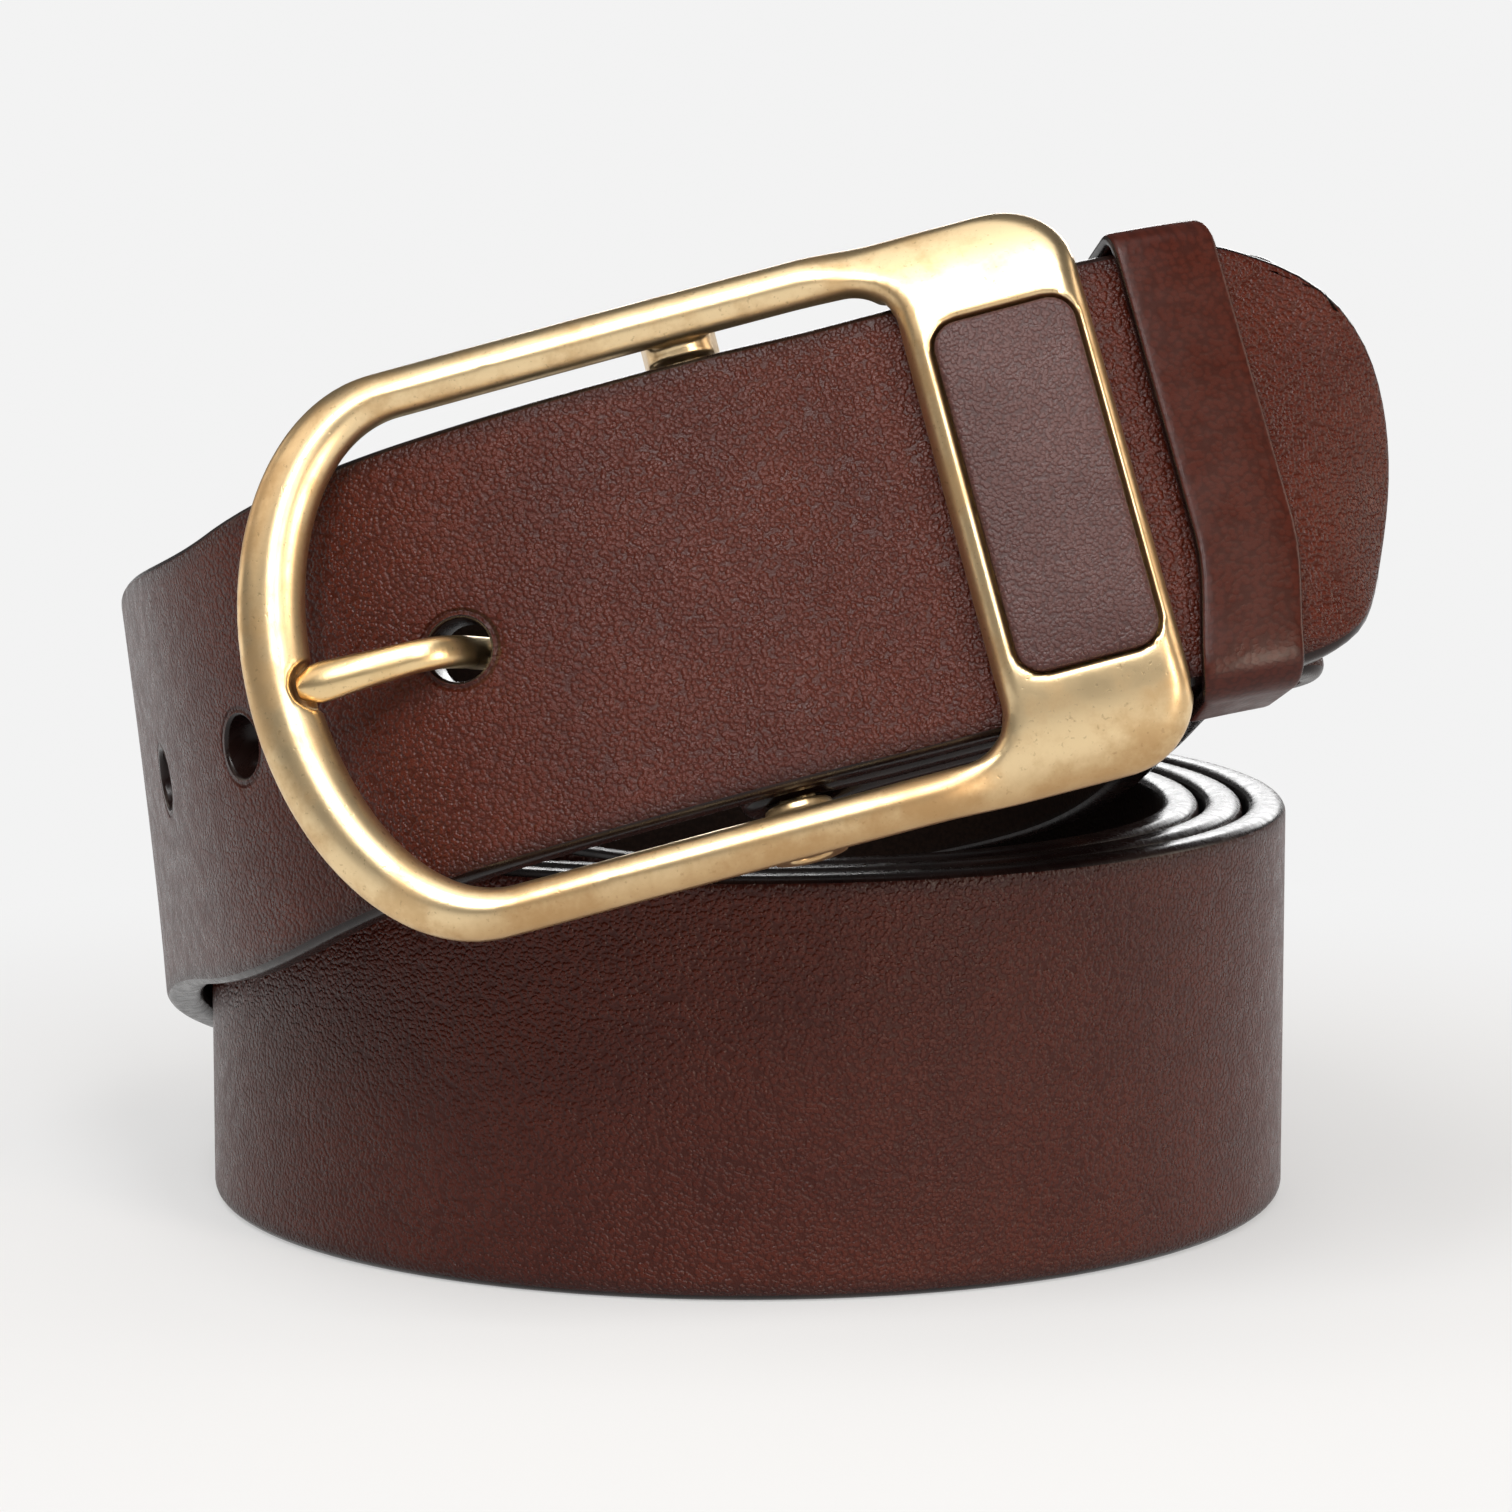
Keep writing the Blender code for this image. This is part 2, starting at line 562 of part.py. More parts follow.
def build_frame(material):
    inner = outline(OPENING_LEFT, ROUND_END_INNER, OPENING_HALF_HEIGHT, OPENING_RIGHT, OPENING_CORNER)
    outer = outline(FRAME_LEFT, ROUND_END, FRAME_HALF_HEIGHT, FRAME_RIGHT, PLATE_CORNER)
    bm = bmesh.new()
    loft(bm, [frame_section(a, b) for a, b in zip(inner, outer)], closed=True)
    frame = add_object("buckle_frame", bm, BUCKLE, material)

    bm = bmesh.new()
    half = STRAP_WIDTH / 2 + CHANNEL_CLEAR
    channel = [(OPENING_RIGHT - 3, -half), (FRAME_RIGHT + 3, -half), (FRAME_RIGHT + 3, half),
               (OPENING_RIGHT - 3, half)]
    loft(bm, [[(u, v, n) for u, v in channel] for n in (PLATE_UNDER, PLATE_WALL_FOOT - 3)], closed=False)
    cut(frame, add_object("strap_channel_guide", bm, BUCKLE))

    bm = bmesh.new()
    shape = [(LUG_HALF_LENGTH, LUG_TOP), (-LUG_HALF_LENGTH, LUG_TOP), (-LUG_RADIUS, 0.0)]
    for k in range(1, 12):
        a = math.pi * (1 + k / 12)
        shape.append((LUG_RADIUS * math.cos(a), LUG_RADIUS * math.sin(a)))
    shape.append((LUG_RADIUS, 0.0))
    for side in (1, -1):
        loft(bm, [[(u, side * v, n) for u, n in shape] for v in (LUG_INNER, LUG_OUTER)], closed=False)
    cut(frame, add_object("lug_guide", bm, BUCKLE), "UNION")

    bm = bmesh.new()
    bore = circle(BAR_RADIUS + CLEAR, 0.0)
    for side in (1, -1):
        loft(bm, [[(x, side * v, y) for x, y, _ in bore] for v in (LUG_INNER - 1, LUG_OUTER + 0.3)],
             closed=False)
    cut(frame, add_object("bar_bore_guide", bm, BUCKLE))

    bm = bmesh.new()
    seat = [(OPENING_LEFT + 0.1 + x, y) for x, y, _ in circle(SEAT_RADIUS, 0.0)]
    loft(bm, [[(u, v, n) for u, v in seat] for n in (SEAT_FLOOR, RAIL_LEVEL + 3.1)], closed=False)
    cut(frame, add_object("prong_seat_guide", bm, BUCKLE))

    bm = bmesh.new()
    pocket = rounded_rectangle(INLAY_LEFT, INLAY_RIGHT, INLAY_HALF_HEIGHT, INLAY_CORNER)
    floor = PLATE_TOP - INLAY_THICK - CLEAR
    loft(bm, [[(u, v, n) for u, v in pocket] for n in (floor, PLATE_TOP + 2)], closed=False)
    cut(frame, add_object("inlay_pocket_guide", bm, BUCKLE))
    return frame


def build_bar(material):
    bm = bmesh.new()
    ring = circle(BAR_RADIUS, 0.0)
    loft(bm, [[(x, v, y) for x, y, _ in ring] for v in (-LUG_OUTER + 0.2, LUG_OUTER - 0.2)], closed=False)
    return add_object("centre_bar", bm, BUCKLE, material)


def build_inlay(material):
    bm = bmesh.new()
    low, high = PLATE_TOP - INLAY_THICK, PLATE_TOP + 0.05
    sections = []
    for n, inset in ((low, CLEAR), (high - 0.25, CLEAR), (high, CLEAR + 0.3)):
        shape = rounded_rectangle(INLAY_LEFT + inset, INLAY_RIGHT - inset,
                                  INLAY_HALF_HEIGHT - inset, INLAY_CORNER - inset)
        sections.append([(u, v, n) for u, v in shape])
    loft(bm, sections, closed=False)
    return add_object("buckle_inlay", bm, BUCKLE, material)


PRONG_LINE = (
    # u, n as a share of the rail's level, width and thickness over the stem's
    (-2.6, 0.0, 1.0, -0.2), (-8.0, 0.015, 0.2, 0.0), (-14.0, 0.03, 0.0, 0.0), (-19.0, 0.045, 0.0, 0.0),
    (-20.6, 0.072, 0.0, 0.0), (-21.9, 0.26, 0.0, 0.0), (-23.2, 0.58, 0.0, 0.0), (-24.4, 0.87, 0.0, 0.0),
    (-25.8, 1.087, 0.0, 0.0), (-27.8, 1.174, 0.0, 0.0), (-32.0, 1.18, 0.3, 0.0), (-35.2, 1.152, 0.7, 0.0),
    (-36.7, 1.13, 0.9, -0.1), (-38.1, 1.094, -0.9, -0.9))


def build_prong(material):
    line = np.array(PRONG_LINE) * (1, RAIL_LEVEL, 1, 1) + (0, 0, PRONG_WIDTH, PRONG_THICK)
    ways = np.gradient(line[:, :2], axis=0)
    sections = []
    for (u, n, wide, thick), way in zip(line, ways):
        side = unit(np.array((way[1], -way[0])))
        section = []
        for k in range(12):
            a = 2 * math.pi * (k + 0.5) / 12
            c, s = math.cos(a), math.sin(a)
            x = math.copysign(abs(c) ** 0.7, c) * wide / 2
            y = math.copysign(abs(s) ** 0.7, s) * thick / 2
            section.append((u + side[0] * y, x, n + side[1] * y))
        sections.append(section)
    bm = bmesh.new()
    loft(bm, sections, closed=False)
    prong = add_object("prong", bm, BUCKLE, material)

    bm = bmesh.new()
    half, inner = EYE_WIDTH / 2, BAR_RADIUS + CLEAR
    eye = []
    for k in range(24):
        a = 2 * math.pi * k / 24
        c, s = math.cos(a), math.sin(a)
        eye.append([(c * r, v, s * r) for r, v in ((inner, -half), (inner, half), (EYE_RADIUS - 0.4, half),
                                                  (EYE_RADIUS, half - 0.4), (EYE_RADIUS, 0.4 - half),
                                                  (EYE_RADIUS - 0.4, -half))])
    loft(bm, eye, closed=True)
    cut(prong, add_object("prong_eye_guide", bm, BUCKLE), "UNION")
    return prong


# ---------------------------------------------------------------- keeper and screws
KEEPER_CENTRE = BUCKLE @ Matrix.Translation(Vector((BEND_START_U, 0.0, BEND_CENTRE_N)) * MM)


def build_keeper(material):
    """Loop round main layer and tail, bent with them about the bend's centre."""
    inner_low = MAIN_BEND - STRAP_THICK / 2 - KEEPER_PLAY
    inner_high = TAIL_BEND + STRAP_THICK / 2 + KEEPER_PLAY
    half = STRAP_WIDTH / 2 + 0.35
    inner = rounded_rectangle(inner_low, inner_high, half, 1.1)
    outer = rounded_rectangle(inner_low - KEEPER_THICK, inner_high + KEEPER_THICK,
                              half + KEEPER_THICK, 3.0)
    start = math.radians(KEEPER_START)
    end = start + KEEPER_WIDTH / TAIL_BEND
    edge = 0.5
    sections = []
    for (r0, v0), (r1, v1) in zip(inner, outer):
        section = []
        for f in (0.0, 0.5, 1.0):
            section.append((r0, v0, start + (end - start) * f))
        lift = edge / KEEPER_THICK
        r2, v2 = r1 + (r0 - r1) * lift, v1 + (v0 - v1) * lift
        section.append((r2, v2, end))
        for angle in (end - edge / TAIL_BEND, (start + end) / 2, start + edge / TAIL_BEND):
            section.append((r1, v1, angle))
        section.append((r2, v2, start))
        placed = []
        for r, v, angle in section:
            a = angle - KEEPER_SWEEP / TAIL_BEND * smooth((-v - 7.0) / 14.0)
            placed.append((r * math.sin(a), v, r * math.cos(a)))
        sections.append(placed)
    bm = bmesh.new()
    loft(bm, sections, closed=True)
    return add_object("keeper_loop", bm, KEEPER_CENTRE, material)


def build_screw_set(number, u, material):
    place = BUCKLE @ Matrix.Translation(Vector((u, 0.0, 0.0)) * MM)
    face = MAIN_LEVEL + STRAP_THICK / 2
    back = SHORT_LEVEL - SKIVED_THICK / 2
    top = face - CLEAR
    mouth = back + 0.2
    bm = bmesh.new()
    loft(bm, [circle(POST_BORE, top - HEAD_THICK), circle(POST_BORE, mouth),
              circle(POST_RADIUS, mouth), circle(POST_RADIUS, top - HEAD_THICK),
              circle(SCREW_HEAD_RADIUS, top - HEAD_THICK), circle(SCREW_HEAD_RADIUS, top - 0.2),
              circle(SCREW_HEAD_RADIUS - 0.3, top)], closed=False)
    post = add_object(f"screw_post_{number}", bm, place, material)

    under = back - CLEAR
    bm = bmesh.new()
    loft(bm, [circle(SCREW_RADIUS, top - HEAD_THICK - 0.6), circle(SCREW_RADIUS, under),
              circle(SCREW_HEAD_RADIUS, under), circle(SCREW_HEAD_RADIUS, under - HEAD_THICK + 0.2),
              circle(SCREW_HEAD_RADIUS - 0.4, under - HEAD_THICK)], closed=False)
    screw = add_object(f"binding_screw_{number}", bm, place, material)
    bm = bmesh.new()
    bar = [(-5, -0.45), (5, -0.45), (5, 0.45), (-5, 0.45)]
    loft(bm, [[(x, y, under - HEAD_THICK + z) for x, y in bar] for z in (-1.0, 0.4)], closed=False)
    cut(screw, add_object(f"screw_slot_guide_{number}", bm, place))
    return post, screw


# ---------------------------------------------------------------- put it together
def main():
    clear_scene()
    leather = make_material("leather", (0.09, 0.03, 0.022), 0.0, 0.45)
    inlay_leather = make_material("inlay_leather", (0.07, 0.028, 0.028), 0.0, 0.5)
    keeper_leather = make_material("keeper_leather", (0.085, 0.026, 0.02), 0.0, 0.42)
    brass = make_material("brass", (0.72, 0.55, 0.29), 1.0, 0.32)
    bar_brass = make_material("bar_brass", (0.66, 0.5, 0.27), 1.0, 0.35)
    prong_brass = make_material("prong_brass", (0.74, 0.57, 0.3), 1.0, 0.3)
    steel = make_material("screw_metal", (0.6, 0.5, 0.3), 1.0, 0.35)

    path = StrapPath()
    build_strap(path, leather)
    build_frame(brass)
    build_bar(bar_brass)
    build_prong(prong_brass)
    build_inlay(inlay_leather)
    build_keeper(keeper_leather)
    for number, u in enumerate(SCREW_US, 1):
        build_screw_set(number, u, steel)

    bpy.context.view_layer.update()
    low = Vector((1e9, 1e9, 1e9))
    high = -low
    for thing in bpy.data.objects:
        if thing.type == "MESH" and not thing.hide_render:
            for vert in thing.data.vertices:
                spot = thing.matrix_world @ vert.co
                low = Vector(map(min, low, spot))
                high = Vector(map(max, high, spot))
    shift = Vector((-(low.x + high.x) / 2, -(low.y + high.y) / 2, -low.z))
    for thing in bpy.data.objects:
        thing.matrix_world = Matrix.Translation(shift) @ thing.matrix_world
    bpy.context.view_layer.update()

    place = Matrix.Translation(shift)
    print("strap length mm", round(path.length, 1))
    print("size mm", [round(c * 1000, 2) for c in high - low])
    print("shift mm", [round(c * 1000, 3) for c in shift])
    print("bar centre", [round(c, 6) for c in (place @ BUCKLE).translation])
    print("axes", [[round(c, 6) for c in axis] for axis in (AXIS_U, AXIS_V, AXIS_N)])
    print("keeper centre", [round(c, 6) for c in (place @ KEEPER_CENTRE).translation])


main()
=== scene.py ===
# %% [markdown]
# # A rolled leather belt, piece by piece
# The belt is one long strap, wound into a coil and fastened at the front. A brass buckle
# hangs on a round bar in the strap's folded end, its prong sits in one of five holes, and a
# loose leather keeper holds the tip. Each piece below is a mesh of its own, made the way a
# belt maker would: cut flat, punched, then bent; or cast and filed.

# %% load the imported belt
import json
from math import copysign, cos, pi, radians, sin, sqrt

import bmesh
import bpy
import numpy as np
from mathutils import Matrix, Vector


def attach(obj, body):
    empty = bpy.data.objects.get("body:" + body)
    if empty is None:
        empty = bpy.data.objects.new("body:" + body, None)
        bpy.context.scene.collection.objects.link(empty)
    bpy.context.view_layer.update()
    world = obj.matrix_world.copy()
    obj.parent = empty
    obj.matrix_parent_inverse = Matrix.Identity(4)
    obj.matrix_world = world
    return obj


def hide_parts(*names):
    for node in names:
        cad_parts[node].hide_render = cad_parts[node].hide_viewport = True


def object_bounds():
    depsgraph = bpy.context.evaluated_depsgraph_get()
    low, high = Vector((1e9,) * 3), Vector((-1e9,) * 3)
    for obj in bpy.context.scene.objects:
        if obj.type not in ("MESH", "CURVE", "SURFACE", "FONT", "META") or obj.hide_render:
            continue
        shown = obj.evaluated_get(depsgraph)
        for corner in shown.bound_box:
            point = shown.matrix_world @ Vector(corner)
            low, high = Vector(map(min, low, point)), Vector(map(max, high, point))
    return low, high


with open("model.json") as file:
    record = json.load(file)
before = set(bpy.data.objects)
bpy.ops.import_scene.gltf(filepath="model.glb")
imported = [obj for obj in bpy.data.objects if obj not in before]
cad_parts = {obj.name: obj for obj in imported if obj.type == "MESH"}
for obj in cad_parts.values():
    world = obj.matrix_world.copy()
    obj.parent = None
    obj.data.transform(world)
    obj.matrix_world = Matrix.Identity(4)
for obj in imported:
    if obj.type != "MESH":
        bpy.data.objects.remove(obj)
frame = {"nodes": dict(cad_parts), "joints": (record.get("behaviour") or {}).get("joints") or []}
cad_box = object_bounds()
print("nodes:", sorted(frame["nodes"]))

# %% [markdown]
# ## Two frames of reference
# A maker measures a buckle from its bar: U runs along the belt, V across it, N out of its
# face. The coil is measured from the middle of its foot. The hinge in the record says where
# the bar is, so the step from the coil's middle to the belt's own origin comes from there.

# %% where the buckle sits
MM = 0.001
BAR_IN_COIL = np.array((-0.3, -60.2, 63.9))
BUCKLE_YAW, BUCKLE_LEAN, BUCKLE_ROLL = -4.0, 18.8, 15.6

hinge = next(j for j in frame["joints"] if j["name"] == "buckle_hinge")
bar_place = Vector(hinge["pos_m"])
turn = (Matrix.Rotation(radians(BUCKLE_YAW), 3, "Z")
        @ Matrix.Rotation(radians(-BUCKLE_LEAN), 3, "X")
        @ Matrix.Rotation(radians(-BUCKLE_ROLL), 3, "Y")
        @ Matrix(((1, 0, 0), (0, 0, -1), (0, 1, 0))))
buckle_place = Matrix.Translation(bar_place) @ turn.to_4x4()
coil_place = Matrix.Translation(bar_place - Vector(BAR_IN_COIL) * MM)
AXIS_U, AXIS_V, AXIS_N = (np.array(turn.col[k]) for k in range(3))
print("bar across the belt:", [round(c, 4) for c in AXIS_V], "record says", hinge["axis"])

# %% [markdown]
# ## Small helpers
# Every piece is worked out in millimetres and written in metres. Edges where two faces meet
# steeply are marked sharp, all other faces are smooth, and a Boolean is a modifier that is
# applied at once.

# %% helpers for finished pieces
def smooth(x):
    x = min(max(x, 0.0), 1.0)
    return x * x * (3.0 - 2.0 * x)


def shade(bm, angle=40.0):
    for face in bm.faces:
        face.smooth = True
    for edge in bm.edges:
        edge.smooth = len(edge.link_faces) != 2 or edge.calc_face_angle() < radians(angle)


def put(name, data):
    thing = bpy.data.objects.new(name, data)
    bpy.context.scene.collection.objects.link(thing)
    return thing


def make_object(name, bm):
    mesh = bpy.data.meshes.new(name)
    bm.to_mesh(mesh)
    bm.free()
    return put(name, mesh)


def new_verts(pushed):
    """The vertices among what an extrude operator made."""
    return [made for made in pushed["geom"] if isinstance(made, bmesh.types.BMVert)]


def closed_loop(bm, ring):
    return [bm.edges.new(pair) for pair in zip(ring, ring[1:] + ring[:1])]


def applied(thing):
    """The object's mesh with its modifiers applied; the object itself is removed."""
    graph = bpy.context.evaluated_depsgraph_get()
    mesh = bpy.data.meshes.new_from_object(thing.evaluated_get(graph))
    bpy.data.objects.remove(thing, do_unlink=True)
    return mesh


def carve(thing, cutter, operation="DIFFERENCE"):
    modifier = thing.modifiers.new(operation.title(), "BOOLEAN")
    modifier.operation = operation
    modifier.solver = "EXACT"
    modifier.use_self = True
    modifier.object = cutter
    name = thing.name
    mesh = applied(thing)
    bpy.data.objects.remove(cutter, do_unlink=True)
    return put(name, mesh)


def opened(thing):
    """The object's mesh, open for editing again; the object itself is removed."""
    bm = bmesh.new()
    bm.from_mesh(thing.data)
    bpy.data.objects.remove(thing, do_unlink=True)
    return bm


def finish_piece(name, bm, place, body, node):
    """Put a mesh in millimetres in its place in metres and let it stand for its CAD node."""
    bmesh.ops.scale(bm, vec=(MM, MM, MM), verts=bm.verts[:])
    bmesh.ops.transform(bm, matrix=place, verts=bm.verts[:])
    open_edges = sum(1 for edge in bm.edges if len(edge.link_faces) != 2)
    triangles = sum(len(face.verts) - 2 for face in bm.faces)
    print(f"{name}: {triangles} triangles, {open_edges} open edges, "
          f"{bm.calc_volume() * 1e6:.3f} cm3")
    piece = make_object(name, bm)
    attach(piece, body)
    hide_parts(node)
    return piece


def add_shape(bm, part, matrix=None):
    """Put a separate small mesh into bm, turned by matrix, with its faces facing outwards."""
    bmesh.ops.recalc_face_normals(part, faces=part.faces[:])
    if matrix is not None:
        bmesh.ops.transform(part, matrix=matrix, verts=part.verts[:])
    mesh = bpy.data.meshes.new("part")
    part.to_mesh(mesh)
    part.free()
    bm.from_mesh(mesh)
    bpy.data.meshes.remove(mesh)


def lathe(bm, profile, steps=64, matrix=None, hollow=False):
    """Turn a profile of (radius, height) pairs about N; a hollow one never reaches the axis."""
    part = bmesh.new()
    verts = [part.verts.new((r, 0, z)) for r, z in profile]
    edges = [part.edges.new(pair) for pair in zip(verts, verts[1:])]
    if hollow:
        edges.append(part.edges.new((verts[-1], verts[0])))
    bmesh.ops.spin(part, geom=verts + edges, cent=(0, 0, 0), axis=(0, 0, 1), angle=2 * pi,
                   steps=steps, use_merge=True)
    bmesh.ops.remove_doubles(part, verts=part.verts[:], dist=1e-5)
    add_shape(bm, part, matrix)


def slab(bm, outline, low, high, matrix=None):
    """A flat outline filled and pushed out into a solid between two heights."""
    part = bmesh.new()
    verts = [part.verts.new((x, y, low)) for x, y in outline]
    part.faces.new(verts)
    pushed = bmesh.ops.extrude_face_region(part, geom=part.faces[:])
    bmesh.ops.translate(part, vec=(0, 0, high - low), verts=new_verts(pushed))
    add_shape(bm, part, matrix)


def slices(bm, axis, spots):
    """Cut the mesh across at each spot along an axis, so that it can be bent there."""
    for spot in spots:
        bmesh.ops.bisect_plane(bm, geom=bm.verts[:] + bm.edges[:] + bm.faces[:], dist=1e-6,
                               plane_co=[spot * a for a in axis], plane_no=axis)


def round_rims(bm, offset, segments):
    """Round the steep edges that lie level, as an edge slicker does."""
    bmesh.ops.recalc_face_normals(bm, faces=bm.faces[:])
    rims = [edge for edge in bm.edges if edge.calc_face_angle() > radians(60)
            and abs(edge.verts[0].co.z - edge.verts[1].co.z) < 0.1]
    bmesh.ops.bevel(bm, geom=rims, offset=offset, segments=segments, profile=0.5, affect="EDGES",
                    material=-1)


def melt(thing, voxel, rounds):
    """One skin over everything in the object, remeshed in small cells and softened."""
    skin = thing.modifiers.new("Skin", "REMESH")
    skin.mode = "VOXEL"
    skin.voxel_size = voxel
    soften = thing.modifiers.new("Soften", "SMOOTH")
    soften.factor = 0.5
    soften.iterations = rounds
    bm = bmesh.new()
    bm.from_mesh(applied(thing))
    shade(bm, 180)
    return bm


def rounded_rectangle(left, right, half, corner, steps=8, side_steps=1):
    """Corner arcs joined by straight sides, each side in side_steps equal parts."""
    arcs = []
    for cu, cv, first in ((right - corner, half - corner, 0), (left + corner, half - corner, 90),
                          (left + corner, corner - half, 180), (right - corner, corner - half, 270)):
        turns = [radians(first + 90 * k / steps) for k in range(steps + 1)]
        arcs.append([(cu + corner * cos(a), cv + corner * sin(a)) for a in turns])
    points = []
    for arc, after in zip(arcs, arcs[1:] + arcs[:1]):
        points += arc
        (x0, y0), (x1, y1) = arc[-1], after[0]
        for k in range(1, side_steps):
            points.append((x0 + (x1 - x0) * k / side_steps, y0 + (y1 - y0) * k / side_steps))
    return points


# %% [markdown]
# ## The way the strap goes
# The strap starts behind the bar as a thinned end, folds round the bar, runs right under
# the tail, drops over the coil's wall, spirals outwards, climbs up the back and comes
# forward over the buckle to its tip. Points 0.25 mm apart hold that route, each with the
# direction of the strap's width. Runs at the buckle are walked as arcs; the free sweeps are
# a smooth curve through a few knots.

# %% sizes of the strap and its route
STRAP_WIDTH, STRAP_THICK, SKIVED_THICK = 38.0, 3.6, 2.8
TAIL_LENGTH, TIP_REACH = 59.5, 17.0
HOLE_DIAMETER, HOLE_PITCH, HOLE_COUNT, FIRST_HOLE_U = 5.4, 25.0, 5, -23.8
COIL_RADIUS, TURN_PITCH, SPIRAL_START, SPIRAL_END = 50.0, 4.15, 270.0, 1125.0
BAR_RADIUS, CLEAR = 1.6, 0.3
SHORT_END_U, BEND_START_U, TAIL_BEND, SHARP_BEND = 30.0, 28.0, 38.0, 6.5
FOLD_RADIUS = BAR_RADIUS + 0.35 + SKIVED_THICK / 2
MAIN_LEVEL = STRAP_THICK / 2 + 0.15
SHORT_LEVEL = MAIN_LEVEL - STRAP_THICK / 2 - CLEAR - SKIVED_THICK / 2
TAIL_LEVEL = MAIN_LEVEL + STRAP_THICK + CLEAR
TAIL_OVER_BAR = FOLD_RADIUS + SKIVED_THICK / 2 + CLEAR + STRAP_THICK / 2
MAIN_BEND = TAIL_BEND - STRAP_THICK - CLEAR
STEP = 0.25
UPRIGHT = np.array((0.0, 0.36, 0.93))
LEFT_BEND_UP = np.array((-0.14, 0.10, 0.98))
TIP_UP = np.array((-0.09, 0.14, 0.98))


# %% pieces of the route
def walk(u, n, heading, arcs):
    """Points along arcs of (length, radius) beside the buckle; a positive radius turns left."""
    h = radians(heading)
    points = [(u, n)]
    for length, radius in arcs:
        count = max(1, round(length / STEP))
        for _ in range(count):
            bend = length / count / radius
            u += radius * (sin(h + bend) - sin(h))
            n -= radius * (cos(h + bend) - cos(h))
            h += bend
            points.append((u, n))
    return points


def folded_layers():
    points = []
    for u in np.arange(SHORT_END_U, 0.0, -STEP):
        points.append((u, -FOLD_RADIUS + (SHORT_LEVEL + FOLD_RADIUS) * smooth(u / 9)))
    for a in np.radians(np.arange(-90.0, -270.0, -4.0)):
        points.append((FOLD_RADIUS * cos(a), FOLD_RADIUS * sin(a)))
    for u in np.arange(0.0, BEND_START_U, STEP):
        points.append((u, FOLD_RADIUS + (MAIN_LEVEL - FOLD_RADIUS) * smooth(u / 9)))
    return points + walk(BEND_START_U, MAIN_LEVEL, 0.0, [(MAIN_BEND * radians(26), -MAIN_BEND),
                                                         (SHARP_BEND * radians(78), -SHARP_BEND)])


def tail_layers():
    points = walk(0.0, TAIL_OVER_BAR, 180.0, [(10, 200), (15, 90), (14, 30), (8, 36)])[::-1]
    for u in np.arange(STEP, BEND_START_U, STEP):
        points.append((u, TAIL_OVER_BAR + (TAIL_LEVEL - TAIL_OVER_BAR) * smooth(u / 12)))
    return points + walk(BEND_START_U, TAIL_LEVEL, 0.0, [(TAIL_LENGTH - BEND_START_U, -TAIL_BEND)])


def spiral_radius(angle):
    whole = angle // 360.0
    return COIL_RADIUS - TURN_PITCH * (3 - whole) + TURN_PITCH * smooth((angle / 360.0 - whole) * 2)


def on_coil(angle, radius, height):
    a = radians(angle)
    return (radius * cos(a), radius * sin(a), height)


def outward(angle, lean):
    a, tip = radians(angle), radians(lean)
    return (sin(tip) * cos(a), sin(tip) * sin(a), cos(tip))


def beside_buckle(points):
    """(u, n) pairs beside the buckle, in the coil's millimetres."""
    return [BAR_IN_COIL + u * AXIS_U + n * AXIS_N for u, n in points]


def free_sweep(knots, start, end):
    """Cubic spline through (point, width direction) knots with given end directions."""
    data = np.array([np.r_[p, w] for p, w in knots], float)
    gaps = np.linalg.norm(np.diff(data[:, :3], axis=0), axis=1)
    where = np.r_[0.0, np.cumsum(gaps)]
    lhs, rhs = np.eye(len(knots)), np.zeros((len(knots), 6))
    rhs[0, :3], rhs[-1, :3] = start, end
    for i in range(1, len(knots) - 1):
        a, b = gaps[i - 1], gaps[i]
        lhs[i, i - 1:i + 2] = (b, 2 * (a + b), a)
        rhs[i] = 3 * (b * (data[i] - data[i - 1]) / a + a * (data[i + 1] - data[i]) / b)
    slope = np.linalg.solve(lhs, rhs)
    samples = []
    for s in np.arange(STEP, where[-1] - STEP / 2, STEP):
        i = min(int(np.searchsorted(where, s, side="right")) - 1, len(knots) - 2)
        h, x = gaps[i], (s - where[i]) / gaps[i]
        samples.append((2 * x**3 - 3 * x**2 + 1) * data[i] + (x**3 - 2 * x**2 + x) * h * slope[i]
                       + (3 * x**2 - 2 * x**3) * data[i + 1] + (x**3 - x**2) * h * slope[i + 1])
    return samples


# %% the whole route, end to end
layers = folded_layers()
samples = []
turning = len(layers) - SHARP_BEND * radians(78) / STEP
for k, point in enumerate(beside_buckle(layers)):
    twist = smooth((k - turning) / (len(layers) - turning))
    samples.append(np.r_[point, AXIS_V + (UPRIGHT - AXIS_V) * twist])
main_end = len(samples)

leave = radians(104)
low = STRAP_WIDTH / 2 + 0.02
down = radians(SPIRAL_START + 90)
samples += free_sweep([
    (samples[-1][:3], UPRIGHT),
    ((42.2, -36.0, 69.8), (0.02, 0.30, 0.95)),
    ((39.6, -16.0, 64.6), (0.0, 0.20, 0.97)),
    (on_coil(12, 37.4, 57.8), (-0.02, 0.10, 0.99)),
    (on_coil(45, 37.2, 49.2), (0, 0, 1)),
    (on_coil(90, 37.6, 41.6), (0, 0, 1)),
    (on_coil(135, 38.8, 34.2), (0, 0, 1)),
    (on_coil(180, 40.4, 27.4), (0, 0, 1)),
    (on_coil(225, 41.5, 21.9), (0, 0, 1)),
    (on_coil(SPIRAL_START, spiral_radius(SPIRAL_START), low), (0, 0, 1)),
], cos(leave) * AXIS_U - sin(leave) * AXIS_N, (cos(down), sin(down), 0))
for angle in np.arange(SPIRAL_START, SPIRAL_END - 1.0, 0.5):
    samples.append(np.r_[on_coil(angle, spiral_radius(angle), low), 0, 0, 1])

